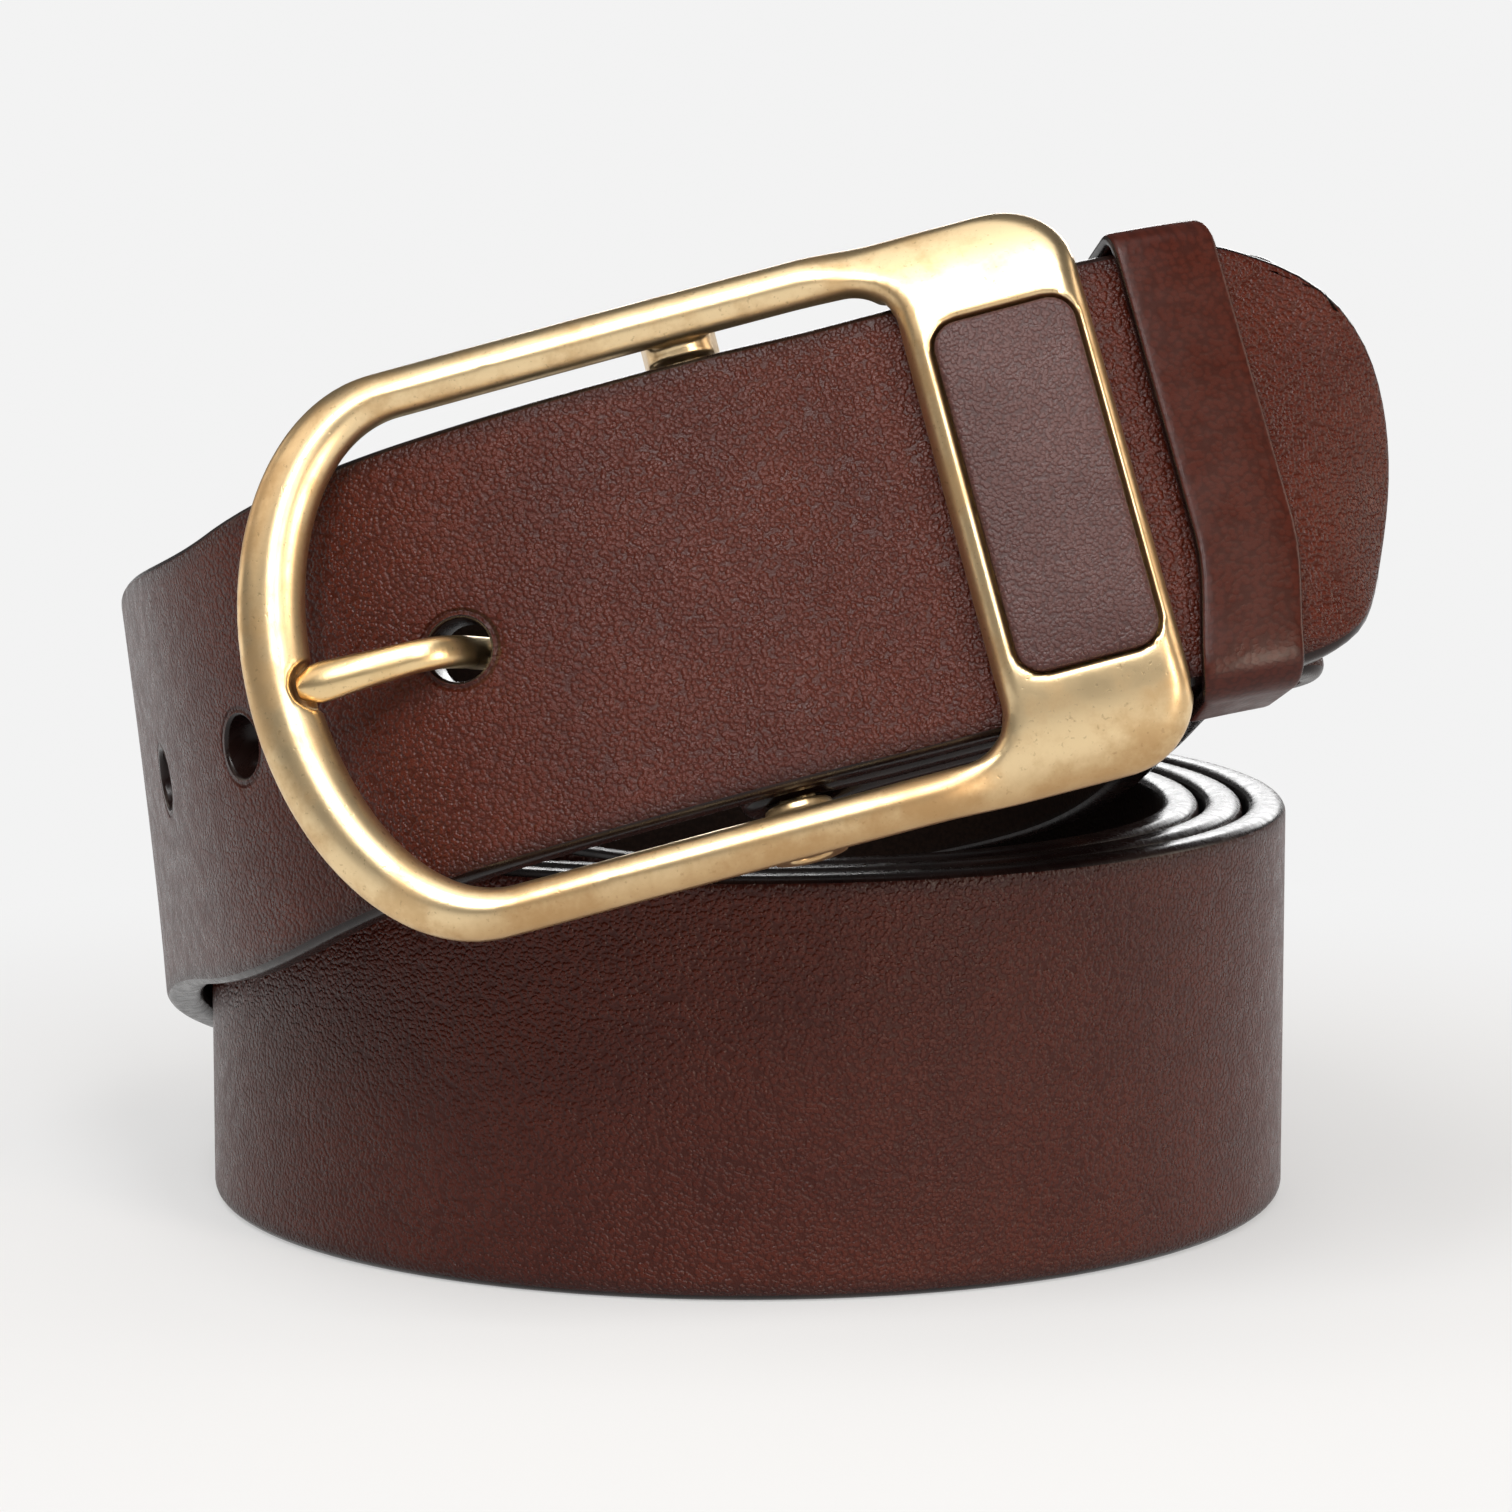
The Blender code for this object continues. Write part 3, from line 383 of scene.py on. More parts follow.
tail = beside_buckle(tail_layers())
up = radians(SPIRAL_END + 90)
enter = (tail[1] - tail[0]) / np.linalg.norm(tail[1] - tail[0])
samples += free_sweep([
    (on_coil(SPIRAL_END, spiral_radius(SPIRAL_END) - 0.02, low), (0, 0, 1)),
    (on_coil(1170, 52.3, 19.6), outward(1170, 1)),
    (on_coil(1215, 54.8, 24.0), outward(1215, 3)),
    (on_coil(1260, 55.8, 36.6), outward(1260, 5.5)),
    ((-52.5, -25.0, 42.9), LEFT_BEND_UP),
    (tail[0], 0.75 * AXIS_V + 0.25 * LEFT_BEND_UP),
], (cos(up), sin(up), 0), enter)
tail_start = len(samples)
FREE_TIP = 11.1  # mm of the tip beyond the keeper, which turns a little
for k, point in enumerate(tail):
    start = 0.25 * (1 - smooth(k * STEP / 20))
    end = smooth(1 - (len(tail) - 1 - k) * STEP / FREE_TIP)
    samples.append(np.r_[point, AXIS_V + start * (LEFT_BEND_UP - AXIS_V) + end * (TIP_UP - AXIS_V)])

samples = np.array(samples)
route = samples[:, :3]
route_s = np.r_[0.0, np.cumsum(np.linalg.norm(np.diff(route, axis=0), axis=1))]
tangent = np.gradient(route, route_s, axis=0)
tangent /= np.linalg.norm(tangent, axis=1)[:, None]
route_normal = np.cross(tangent, samples[:, 3:])
route_normal /= np.linalg.norm(route_normal, axis=1)[:, None]
route_width = np.cross(route_normal, tangent)
LENGTH = float(route_s[-1])
print("strap length mm:", round(LENGTH, 1))


def length_at(u, first, last):
    """Length along the strap at which it passes u, between two points of the route."""
    beside = (route[first:last] - BAR_IN_COIL) @ AXIS_U
    return float(route_s[first + int(np.argmin(np.abs(beside - u)))])


# %% [markdown]
# ## The strap
# The strap starts as a flat blank: a grid of rows and columns, closer where it will bend.
# The tip's last rows are eased into a half oval, which keeps the grid regular. Extruding
# gives the thickness, and a bevel rounds the edges as an edge slicker does. Bending comes
# last, because round holes and even edges are far easier to make in a flat blank.

# %% cut the blank
ROW_LENGTH, ROW_TURN, COLUMNS = 2.2, 3.0, 16
turned = np.degrees(np.arccos(np.clip((tangent[1:] * tangent[:-1]).sum(axis=1), -1, 1)))
wanted = np.r_[0.0, np.cumsum(np.maximum(np.diff(route_s) / ROW_LENGTH, turned / ROW_TURN))]
rows = int(wanted[-1])
row_at = np.interp(np.linspace(0, wanted[-1], rows + 1), wanted, route_s)

blank = bmesh.new()
bmesh.ops.create_grid(blank, x_segments=rows, y_segments=COLUMNS, size=1)
for vert in blank.verts:
    s = float(row_at[round((vert.co.x + 1) / 2 * rows)])
    v = vert.co.y
    t = max(0.0, (s - (LENGTH - TIP_REACH)) / TIP_REACH)
    if t > 0:
        s = LENGTH - TIP_REACH + TIP_REACH * t * sqrt(1 - v * v / 2)
        v = v * sqrt(1 - t * t / 2)
    vert.co = (s, v * STRAP_WIDTH / 2, STRAP_THICK / 2)
pushed = bmesh.ops.extrude_face_region(blank, geom=blank.faces[:])
bmesh.ops.translate(blank, vec=(0, 0, -STRAP_THICK), verts=new_verts(pushed))
round_rims(blank, 1.2, 6)
print("blank:", rows, "rows,", len(blank.faces), "faces")
strap_blank = make_object("strap_blank", blank)

# %% [markdown]
# ## Holes, slot and counterbores
# Turned cutters with a flared mouth punch the flat blank, so the grain side is drawn in a
# little round each hole. The stadium slot lets the prong out of the fold, and four small
# holes with sunk seats take the two screws.

# %% punch the blank
punches = bmesh.new()
FACE = STRAP_THICK / 2
first_hole = length_at(FIRST_HOLE_U, tail_start, len(route))
hole_lengths = [first_hole - k * HOLE_PITCH for k in range(HOLE_COUNT)]
r = HOLE_DIAMETER / 2
for s in hole_lengths:
    lathe(punches, [(0, -3), (r, -3), (r, FACE - 0.35), (r + 0.06, FACE - 0.15),
                    (r + 0.3, FACE + 0.02), (r + 0.3, 3), (0, 3)], 56, Matrix.Translation((s, 0, 0)))
SCREW_US, HEAD_RADIUS, POST_RADIUS, HEAD_THICK = (13.2, 24.0), 3.6, 2.2, 0.8
quarter = int(SHORT_END_U / STEP)
r = POST_RADIUS + CLEAR
for u in SCREW_US:
    s_short = length_at(u, 0, quarter)
    s_main = length_at(u, quarter + 30, main_end)
    lathe(punches, [(0, -3), (r, -3), (r, 3), (0, 3)], 40, Matrix.Translation((s_short, 0, 0)))
    seat = FACE - HEAD_THICK - 2 * CLEAR
    wide = HEAD_RADIUS + CLEAR
    lathe(punches, [(0, -3), (r, -3), (r, seat), (wide, seat), (wide, 3), (0, 3)], 40,
          Matrix.Translation((s_main, 0, 0)))
fold_middle = SHORT_END_U + pi * FOLD_RADIUS / 2 + 0.2
reach = pi * FOLD_RADIUS / 2 + 6.0
slab(punches, rounded_rectangle(fold_middle - reach, fold_middle + reach, 3.1, 3.099), -3, 3)
print("holes at mm:", [round(s, 1) for s in hole_lengths])
strap_flat = carve(strap_blank, make_object("punches", punches))

# %% [markdown]
# ## Bending the strap
# While the strap is flat its grain face looks up, so each face can be told apart: grain,
# lining or painted edge. A UV map in metres lets the leather's grain follow the strap round
# every bend. Then each point moves from (length, width, depth) to its place on the route.

# %% mark, unwrap and bend
bm = opened(strap_flat)
GRAIN, LINING, EDGE = 0, 1, 2
FLAT_ENOUGH = 0.85
bmesh.ops.holes_fill(bm, edges=[edge for edge in bm.edges if edge.is_boundary], sides=12)
bmesh.ops.triangulate(bm, faces=[face for face in bm.faces if len(face.verts) > 4])
uv = bm.loops.layers.uv.new("along_strap")
for face in bm.faces:
    up = face.normal.z
    face.material_index = GRAIN if up > FLAT_ENOUGH else LINING if up < -FLAT_ENOUGH else EDGE
    for loop in face.loops:
        x, y, z = loop.vert.co
        loop[uv].uv = (x * MM, (y + z) * MM)
shade(bm)

flat = np.array([vert.co for vert in bm.verts])
skive_end = SHORT_END_U + pi * FOLD_RADIUS + 1.0
part_way = np.clip((flat[:, 0] - skive_end) / 8, 0, 1)
thickness = SKIVED_THICK + (STRAP_THICK - SKIVED_THICK) * part_way**2 * (3 - 2 * part_way)
depth = flat[:, 2] * thickness / STRAP_THICK
at = [np.stack([np.interp(flat[:, 0], route_s, table[:, k]) for k in range(3)], axis=1)
      for table in (route, route_width, route_normal)]
bent = at[0] + at[1] * flat[:, 1:2] + at[2] * depth[:, None]
for vert, spot in zip(bm.verts, bent):
    vert.co = spot
strap = finish_piece("bent_strap", bm, coil_place, "strap", "strap")

# %% [markdown]
# ## The buckle frame
# The frame is a brass casting: a round end and two rails flow into a broad plate with a
# pocket for leather. The inner outline is pushed out to the outer one, that ring is cut
# into narrow bands, and each band is lifted to the casting's height there: a soft crest
# along the rails, a domed face on the plate.

# %% outlines of the opening and of the outside
FRAME_LEFT, FRAME_RIGHT, FRAME_HALF = -42.5, 34.3, 24.95
RAILS_END = 9.0  # where the rails start to widen into the plate
OPENING_LEFT, OPENING_RIGHT, OPENING_HALF = -36.6, 18.3, 20.8
PLATE_TOP, PLATE_UNDER, WALL_FOOT = 11.0, 8.4, 5.2
RAIL_HALF, CREST_AT = 2.1, 0.44  # half the rail's thickness; its crest from the opening's side


def along(points, count):
    """A broken line walked in count equal steps."""
    points = np.array(points, float)
    s = np.r_[0.0, np.cumsum(np.linalg.norm(np.diff(points, axis=0), axis=1))]
    at = np.linspace(0.0, s[-1], count + 1)
    return list(zip(np.interp(at, s, points[:, 0]).tolist(), np.interp(at, s, points[:, 1]).tolist()))


def buckle_outline(left, reach, half, right, corner):
    """Half oval on the left, straight rails, and a plate with rounded corners on the right."""
    oval = [pi * (0.5 + k / 96) for k in range(96)]
    points = [(left + reach + reach * cos(a), half * sin(a)) for a in oval]
    points += along([(left + reach, -half), (RAILS_END, -half)], 30)[:-1]
    quarter = [pi / 2 * k / 24 for k in range(25)]
    arc = [(right - corner + corner * sin(a), -half + corner - corner * cos(a))
           for a in quarter]
    lower = along([(RAILS_END, -half)] + arc, 34)
    points += lower[:-1]
    points += along([lower[-1], (lower[-1][0], -lower[-1][1])], 44)[:-1]
    points += [(u, -v) for u, v in lower[::-1]][:-1]
    points += along([(RAILS_END, half), (left + reach, half)], 30)[:-1]
    return points


opening = buckle_outline(OPENING_LEFT, 12.2, OPENING_HALF, OPENING_RIGHT, 4.0)
outside = buckle_outline(FRAME_LEFT, 16.5, FRAME_HALF, FRAME_RIGHT, 6.6)
print("outline points:", len(opening), len(outside))


# %% heights of the casting
def casting_heights(f, wide, u, v):
    """Face and underside at share f of the way from the opening to the outside."""
    middle = 6.9 + 0.8 * smooth((u + 42) / 42)
    fall = max(0.0, (abs(v) - 13.5) / 11.5)
    mix = smooth((u - 11.0) / 7.3)
    high = middle + RAIL_HALF + (PLATE_TOP - 3.6 * fall**2.2 - middle - RAIL_HALF) * mix
    under = middle - RAIL_HALF + (WALL_FOOT - middle + RAIL_HALF) * mix
    x = (CREST_AT - f) / CREST_AT if f < CREST_AT else (f - CREST_AT) / (1 - CREST_AT)
    rail_rise = sqrt(max(0.0, 1 - x**1.65))
    edge = min(2.0, 0.45 * wide)
    d = min(1.0, min(f, 1 - f) * wide / edge)
    edge_rise = sqrt(max(0.0, 1 - (1 - d) ** 2))
    rise = rail_rise + (edge_rise - rail_rise) * mix
    half, level = (high - under) / 2, (high + under) / 2
    return level + half * rise, level - half * edge_rise


# %% raise the ring
BANDS = 30
bm = bmesh.new()
inner_spot = bm.verts.layers.float_vector.new("inner_spot")
outer_spot = bm.verts.layers.float_vector.new("outer_spot")
share = bm.verts.layers.float.new("share")
ring = [bm.verts.new((u, v, 0)) for u, v in opening]
for vert, (u0, v0), (u1, v1) in zip(ring, opening, outside):
    vert[inner_spot], vert[outer_spot] = (u0, v0, 0), (u1, v1, 0)
pushed = bmesh.ops.extrude_edge_only(bm, edges=closed_loop(bm, ring))
for vert in new_verts(pushed):
    vert.co = vert[outer_spot]
    vert[share] = 1.0
crossing = [edge for edge in bm.edges if edge.verts[0][share] != edge.verts[1][share]]
bmesh.ops.subdivide_edges(bm, edges=crossing, cuts=BANDS - 1, use_grid_fill=True)
under_verts = set(new_verts(bmesh.ops.extrude_face_region(bm, geom=bm.faces[:])))
for vert in bm.verts:
    f = (1 - cos(pi * vert[share])) / 2
    inner, outer = vert[inner_spot], vert[outer_spot]
    spot = inner + (outer - inner) * f
    heights = casting_heights(f, (outer - inner).length, spot.x, spot.y)
    vert.co = (spot.x, spot.y, heights[1] if vert in under_verts else heights[0])
bmesh.ops.remove_doubles(bm, verts=bm.verts[:], dist=1e-4)
bmesh.ops.recalc_face_normals(bm, faces=bm.faces[:])
print("ring:", len(bm.faces), "faces, open edges", sum(len(e.link_faces) != 2 for e in bm.edges))
casting = make_object("casting", bm)

# %% [markdown]
# ## Lugs, bores and pocket
# Two lugs under the rails hold the bar. They are joined on, and a bore, a seat for the
# prong, the channel under the plate and the pocket for the inlay are cut away. A fine voxel
# remesh and a little smoothing melt all of it into one skin, with a casting's small radius
# in every inside corner.

# %% join and cut
LUG_ENDS, BORE_ENDS = (19.7, 23.6), (18.7, 23.9)
ACROSS = Matrix.Rotation(radians(90), 4, "X")
lug = [(2.9 * cos(a), 4.4 + 2.5 * sin(a)) for a in (pi * k / 16 for k in range(17))]
lug += [(3.3 * cos(a), 3.3 * sin(a)) for a in (pi * (1 + k / 24) for k in range(25))]
parts = bmesh.new()
for side in (1, -1):
    slab(parts, lug, *sorted(side * end for end in LUG_ENDS), ACROSS)
casting = carve(casting, make_object("lugs", parts), "UNION")

parts = bmesh.new()
half = STRAP_WIDTH / 2 + 0.5
slab(parts, [(15.3, -half), (38, -half), (38, half), (15.3, half)], 2.0, PLATE_UNDER)
r = BAR_RADIUS + CLEAR
for side in (1, -1):
    a, b = sorted(side * end for end in BORE_ENDS)
    lathe(parts, [(0, a), (r, a), (r, b), (0, b)], 48, ACROSS)
casting = carve(casting, make_object("bores", parts))

parts = bmesh.new()
seat_place = Matrix.Translation((OPENING_LEFT + 0.1, 0, 0))
lathe(parts, [(0, 5.9), (1.9, 5.9), (2.2, 6.2), (2.2, 12), (0, 12)], 48, seat_place)
INLAY = (20.4, 33.1, 15.7, 2.5)
slab(parts, rounded_rectangle(*INLAY), PLATE_TOP - 1.3, PLATE_TOP + 2)
casting = carve(casting, make_object("pockets", parts))

# %% melt into one skin
bm = melt(casting, 0.28, 5)
cast_frame = finish_piece("cast_frame", bm, buckle_place, "buckle", "buckle_frame")

# %% [markdown]
# ## The centre bar
# The bar is turned: half its outline is spun about the axis, with a small chamfer where the
# rod was cut.

# %% turn the bar
bm = bmesh.new()
r, end = BAR_RADIUS, 23.4
lathe(bm, [(0, -end), (r - 0.25, -end), (r, 0.25 - end), (r, end - 0.25), (r - 0.25, end), (0, end)],
      64, ACROSS)
shade(bm, 30)
hinge_bar = finish_piece("hinge_bar", bm, buckle_place, "buckle", "centre_bar")

# %% [markdown]
# ## The prong
# The prong is a bent wire with a filed point. An oval section is pushed along its line,
# wider and with a sharper crest at the point. Its eye is a turned ring joined on, and a
# fine remesh blends the two.

# %% bend and file the prong
PRONG = (
    # u, n, width, thickness, crest: 0 is round, 1 is a filed ridge
    (-2.6, 0.0, 3.8, 2.0, 0), (-8.0, 0.1, 3.0, 2.2, 0), (-14.0, 0.2, 2.8, 2.2, 0),
    (-19.0, 0.3, 2.8, 2.2, 0), (-20.6, 0.5, 2.8, 2.2, 0), (-21.9, 1.8, 2.8, 2.2, 0),
    (-23.2, 4.0, 2.8, 2.2, 0), (-24.4, 6.0, 2.8, 2.2, 0.1), (-25.8, 7.5, 2.8, 2.2, 0.2),
    (-27.8, 8.1, 2.8, 2.2, 0.3), (-32.0, 8.15, 3.1, 2.2, 0.4), (-35.2, 7.95, 3.5, 2.2, 0.8),
    (-36.7, 7.8, 3.8, 2.1, 1), (-38.1, 7.55, 1.9, 1.3, 1))
line = np.array(PRONG)
length = np.r_[0.0, np.cumsum(np.linalg.norm(np.diff(line[:, :2], axis=0), axis=1))]
at = np.linspace(0.0, length[-1], 91)
line = np.stack([np.interp(at, length, line[:, k]) for k in range(5)], axis=1)
for _ in range(6):
    line[1:-1] = (line[:-2] + 2 * line[1:-1] + line[2:]) / 4
ways = np.gradient(line[:, :2], axis=0)
ways /= np.linalg.norm(ways, axis=1)[:, None]

bm = bmesh.new()
spoke = bm.verts.layers.int.new("spoke")
SPOKES = 32
ring = [bm.verts.new((0, 0, 0)) for _ in range(SPOKES)]
for k, vert in enumerate(ring):
    vert[spoke] = k


def place_ring(verts, station, way):
    u, n, wide, thick, crest = station
    side = (way[1], -way[0])
    for vert in verts:
        a = 2 * pi * (vert[spoke] + 0.5) / SPOKES
        c, s = cos(a), sin(a)
        power = 0.8 + 0.7 * crest
        x = copysign(abs(c) ** (0.75 + 0.2 * crest), c) * wide / 2
        y = copysign(abs(s) ** power, s) * thick / 2
        vert.co = (u + side[0] * y, x, n + side[1] * y)


place_ring(ring, line[0], ways[0])
loop = closed_loop(bm, ring)
for station, way in zip(line[1:], ways[1:]):
    pushed = bmesh.ops.extrude_edge_only(bm, edges=loop)
    loop = [made for made in pushed["geom"] if isinstance(made, bmesh.types.BMEdge)]
    place_ring(new_verts(pushed), station, way)
bmesh.ops.holes_fill(bm, edges=[edge for edge in bm.edges if len(edge.link_faces) == 1], sides=0)
bmesh.ops.recalc_face_normals(bm, faces=bm.faces[:])
wire = make_object("wire", bm)
bm = bmesh.new()
lathe(bm, [(1.9, -2.5), (2.9, -2.5), (3.3, -2.1), (3.3, 2.1), (2.9, 2.5), (1.9, 2.5)], 64, ACROSS,
      hollow=True)
wire = carve(wire, make_object("eye", bm), "UNION")
bm = melt(wire, 0.13, 4)
prong = finish_piece("filed_prong", bm, buckle_place, "prong", "prong")

# %% [markdown]
# ## The leather inlay
# A thin piece of the same leather is glued into the plate. It is cut out flat, rounded at
# its upper edge, and cut across many times so that its middle can rise into a slight
# cushion.

# %% cut and crown the inlay
left, right, half, corner = INLAY
gap = 0.28
bm = bmesh.new()
slab(bm, rounded_rectangle(left + gap, right - gap, half - gap, corner - gap), PLATE_TOP - 1.0,
     PLATE_TOP + 0.05)
top_edges = [edge for edge in bm.edges if all(vert.co.z > PLATE_TOP for vert in edge.verts)]
bmesh.ops.bevel(bm, geom=top_edges, offset=0.4, segments=4, profile=0.5, affect="EDGES", material=-1)
slices(bm, (1, 0, 0), np.linspace(left, right, 15)[1:-1])
slices(bm, (0, 1, 0), np.linspace(-half, half, 31)[1:-1])
for vert in bm.verts:
    if vert.co.z > PLATE_TOP - 0.4:
        x = (vert.co.x - (left + right) / 2) / (right - left) * 2
        y = vert.co.y / half
        vert.co.z += 0.22 * (1 - x**4) * (1 - y**6)
shade(bm, 60)
inlay = finish_piece("plate_inlay", bm, buckle_place, "buckle", "buckle_inlay")

# %% [markdown]
# ## The keeper
# The keeper is a narrow leather loop round both layers of the strap: the ring between two
# rounded rectangles, pushed out to its width, its four rims rounded. Then it is bent with
# the strap about the bend's centre, its lower end swept back.

# %% make and bend the keeper
KEEPER_WIDTH, KEEPER_THICK, KEEPER_SWEEP, KEEPER_START = 8.5, 1.35, 2.4, radians(13.4)
keeper_place = buckle_place @ Matrix.Translation(Vector((BEND_START_U, 0, TAIL_LEVEL - TAIL_BEND)) * MM)
room = STRAP_THICK / 2 + 0.55
low_r, high_r = MAIN_BEND - room, TAIL_BEND + room
half = STRAP_WIDTH / 2 + 0.45
inside = rounded_rectangle(low_r, high_r, half, 1.1, 6, 20)
around = rounded_rectangle(low_r - KEEPER_THICK, high_r + KEEPER_THICK, half + KEEPER_THICK, 3.0, 6, 20)
bm = bmesh.new()
number = bm.verts.layers.int.new("number")
ring = [bm.verts.new((x, y, 0)) for x, y in inside]
for k, vert in enumerate(ring):
    vert[number] = k
pushed = bmesh.ops.extrude_edge_only(bm, edges=closed_loop(bm, ring))
for vert in new_verts(pushed):
    vert.co = (*around[vert[number]], 0)
pushed = bmesh.ops.extrude_face_region(bm, geom=bm.faces[:])
bmesh.ops.translate(bm, vec=(0, 0, KEEPER_WIDTH), verts=new_verts(pushed))
round_rims(bm, 0.5, 4)
slices(bm, (0, 0, 1), np.linspace(0, KEEPER_WIDTH, 9)[1:-1])
uv = bm.loops.layers.uv.new("along_keeper")
for face in bm.faces:
    face.material_index = EDGE if abs(face.normal.z) > 0.6 else GRAIN
    for loop in face.loops:
        x, y, z = loop.vert.co
        loop[uv].uv = ((y + x) * MM, z * MM)
shade(bm, 50)
for vert in bm.verts:
    r, v, w = vert.co
    a = KEEPER_START + w / TAIL_BEND - KEEPER_SWEEP / TAIL_BEND * smooth((-v - 7.0) / 14.0)
    vert.co = (r * sin(a), v, r * cos(a))
keeper = finish_piece("leather_keeper", bm, keeper_place, "keeper", "keeper_loop")

# %% [markdown]
# ## Screws and posts
# Two screws and their hollow posts hold the folded end. Both are turned parts: half an
# outline spun about the axis, and a slot cut across the screw's head.

# %% turn the screws
screw_pieces = []
face, back = MAIN_LEVEL + STRAP_THICK / 2, SHORT_LEVEL - SKIVED_THICK / 2
top, mouth, under = face - CLEAR, back + 0.2, back - CLEAR
seat = top - HEAD_THICK
for count, u in enumerate(SCREW_US, 1):
    place = buckle_place @ Matrix.Translation((u * MM, 0, 0))
    bm = bmesh.new()
    lathe(bm, [(0, seat), (1.6, seat), (1.6, mouth), (2.2, mouth), (2.2, seat), (3.6, seat),
               (3.6, top - 0.2), (3.5, top - 0.08), (3.3, top), (0, top)])
    shade(bm, 35)
    screw_pieces.append(finish_piece(f"turned_post_{count}", bm, place, "strap", f"screw_post_{count}"))
    bm = bmesh.new()
    tip, low = seat - 0.6, under - HEAD_THICK
    lathe(bm, [(0, tip), (1.2, tip), (1.3, tip - 0.15), (1.3, under), (3.6, under), (3.6, low + 0.25),
               (3.5, low + 0.1), (3.2, low), (0, low)])
    shade(bm, 35)
    screw = make_object("screw", bm)
    bm = bmesh.new()
    slab(bm, [(-5, -0.45), (5, -0.45), (5, 0.45), (-5, 0.45)], low - 1.0, low + 0.4)
    bm = opened(carve(screw, make_object("screw_slot", bm)))
    shade(bm, 35)
    screw_pieces.append(finish_piece(f"slotted_screw_{count}", bm, place, "strap",
                                     f"binding_screw_{count}"))

# %% [markdown]
# ## Building materials from nodes
# A material is a small tree of nodes. Two helpers keep the trees short: one adds a node and
# links whatever feeds it, the other makes a node group. What several finishes share is a
# group: grain for the leathers, handling marks for the brasses.

# %% helpers for node trees
def node(tree, kind, feeds=None, **settings):
    """Add a node; feeds gives its inputs, each a value or another node's output."""
    made = tree.nodes.new(kind)
    for key, value in settings.items():
        setattr(made, key, value)
    for key, value in (feeds or {}).items():
        if isinstance(value, bpy.types.NodeSocket):
            tree.links.new(value, made.inputs[key])
        else:
            made.inputs[key].default_value = value
    return made


def math_node(tree, operation, a, b=0.0):
    return node(tree, "ShaderNodeMath", {0: a, 1: b}, operation=operation).outputs[0]


def vector_node(tree, operation, a, b=(0, 0, 0), output="Vector"):
    """A step of vector arithmetic; for SCALE, b is a number or a value."""
    second = "Scale" if operation == "SCALE" else 1
    return node(tree, "ShaderNodeVectorMath", {0: a, second: b}, operation=operation).outputs[output]


def noise(tree, place, scale, detail, roughness=0.5, output="Fac"):
    return node(tree, "ShaderNodeTexNoise", {"Vector": place, "Scale": scale, "Detail": detail,
                "Roughness": roughness}).outputs[output]


def feed(tree, shader, inputs):
    for key, value in inputs.items():
        tree.links.new(value, shader.inputs[key])


def ramp(tree, value, low, high, to_low=0.0, to_high=1.0):
    """A soft step: to_low below low, to_high above high."""
    return node(tree, "ShaderNodeMapRange", {"Value": value, "From Min": low, "From Max": high,
                "To Min": to_low, "To Max": to_high}, interpolation_type="SMOOTHSTEP").outputs[0]


def mix_colours(tree, share, a, b):
    return node(tree, "ShaderNodeMix", {0: share, 6: a, 7: b}, data_type="RGBA").outputs[2]


def new_group(name, inputs, outputs):
    group = bpy.data.node_groups.new(name, "ShaderNodeTree")
    for title, kind, value in inputs:
        socket = group.interface.new_socket(title, in_out="INPUT", socket_type=kind)
        if value is not None:
            socket.default_value = value
    for title, kind in outputs:
        group.interface.new_socket(title, in_out="OUTPUT", socket_type=kind)
    return group, group.nodes.new("NodeGroupInput").outputs, group.nodes.new("NodeGroupOutput").inputs


def use_group(tree, group, feeds):
    return node(tree, "ShaderNodeGroup", feeds, node_tree=group).outputs


def new_material(name):
    material = bpy.data.materials.new(name)
    material.use_nodes = True
    return material, material.node_tree, material.node_tree.nodes["Principled BSDF"]


def dress(piece, *materials):
    while len(piece.data.materials) < len(materials):
        piece.data.materials.append(None)
    for k, material in enumerate(materials):
        piece.data.materials[k] = material
    print(piece.name, "wears", [material.name for material in materials])


# %% [markdown]
# ## Grain of the leather
# Full-grain leather shows rounded pebbles less than half a millimetre across, parted by
# fine creases, over a slow swell of the hide. Warped Voronoi cells make the pebbles; noise
# makes the swell and the mottled dye. The group gives heights and masks only, so each
# leather can weigh them in its own way.

# %% the grain group
grain_group, given, wanted = new_group(
    "leather_grain",
    [("Place", "NodeSocketVector", None), ("Pebble Size", "NodeSocketFloat", 0.0005)],
    [("Height", "NodeSocketFloat"), ("Creases", "NodeSocketFloat"), ("Mottle", "NodeSocketFloat"),
     ("Swell", "NodeSocketFloat")])
tree = grain_group
per_pebble = math_node(tree, "DIVIDE", 1.0, given["Pebble Size"])
cells = vector_node(tree, "SCALE", given["Place"], per_pebble)
warp = noise(tree, cells, 0.45, 1.0, output="Color")
warp = vector_node(tree, "SCALE", vector_node(tree, "SUBTRACT", warp, (0.5, 0.5, 0.5)), 0.5)
warped = vector_node(tree, "ADD", cells, warp)
pebble = node(tree, "ShaderNodeTexVoronoi", {"Vector": warped, "Scale": 1.0, "Smoothness": 0.2},
              feature="SMOOTH_F1").outputs["Distance"]
crease = ramp(tree, pebble, 0.3, 0.8)
fine = noise(tree, cells, 2.6, 2.0)
swell = noise(tree, cells, 0.16, 3.0)
mottle = noise(tree, given["Place"], 90.0, 4.0, 0.6)
height = math_node(tree, "SUBTRACT", 1.0, crease)
height = math_node(tree, "ADD", height, math_node(tree, "MULTIPLY", fine, 0.5))
height = math_node(tree, "ADD", height, math_node(tree, "MULTIPLY", swell, 0.5))
for title, value in (("Height", height), ("Creases", crease), ("Mottle", mottle), ("Swell", swell)):
    tree.links.new(value, wanted[title])
print("group:", grain_group.name)

# %% [markdown]
# ## Handling marks on brass
# Antique brass is tumbled and lacquered: satin, with cloudy tarnish, tiny pits and hairline
# scratches. One group makes all three from noise, at sizes that suit a piece held in the hand.

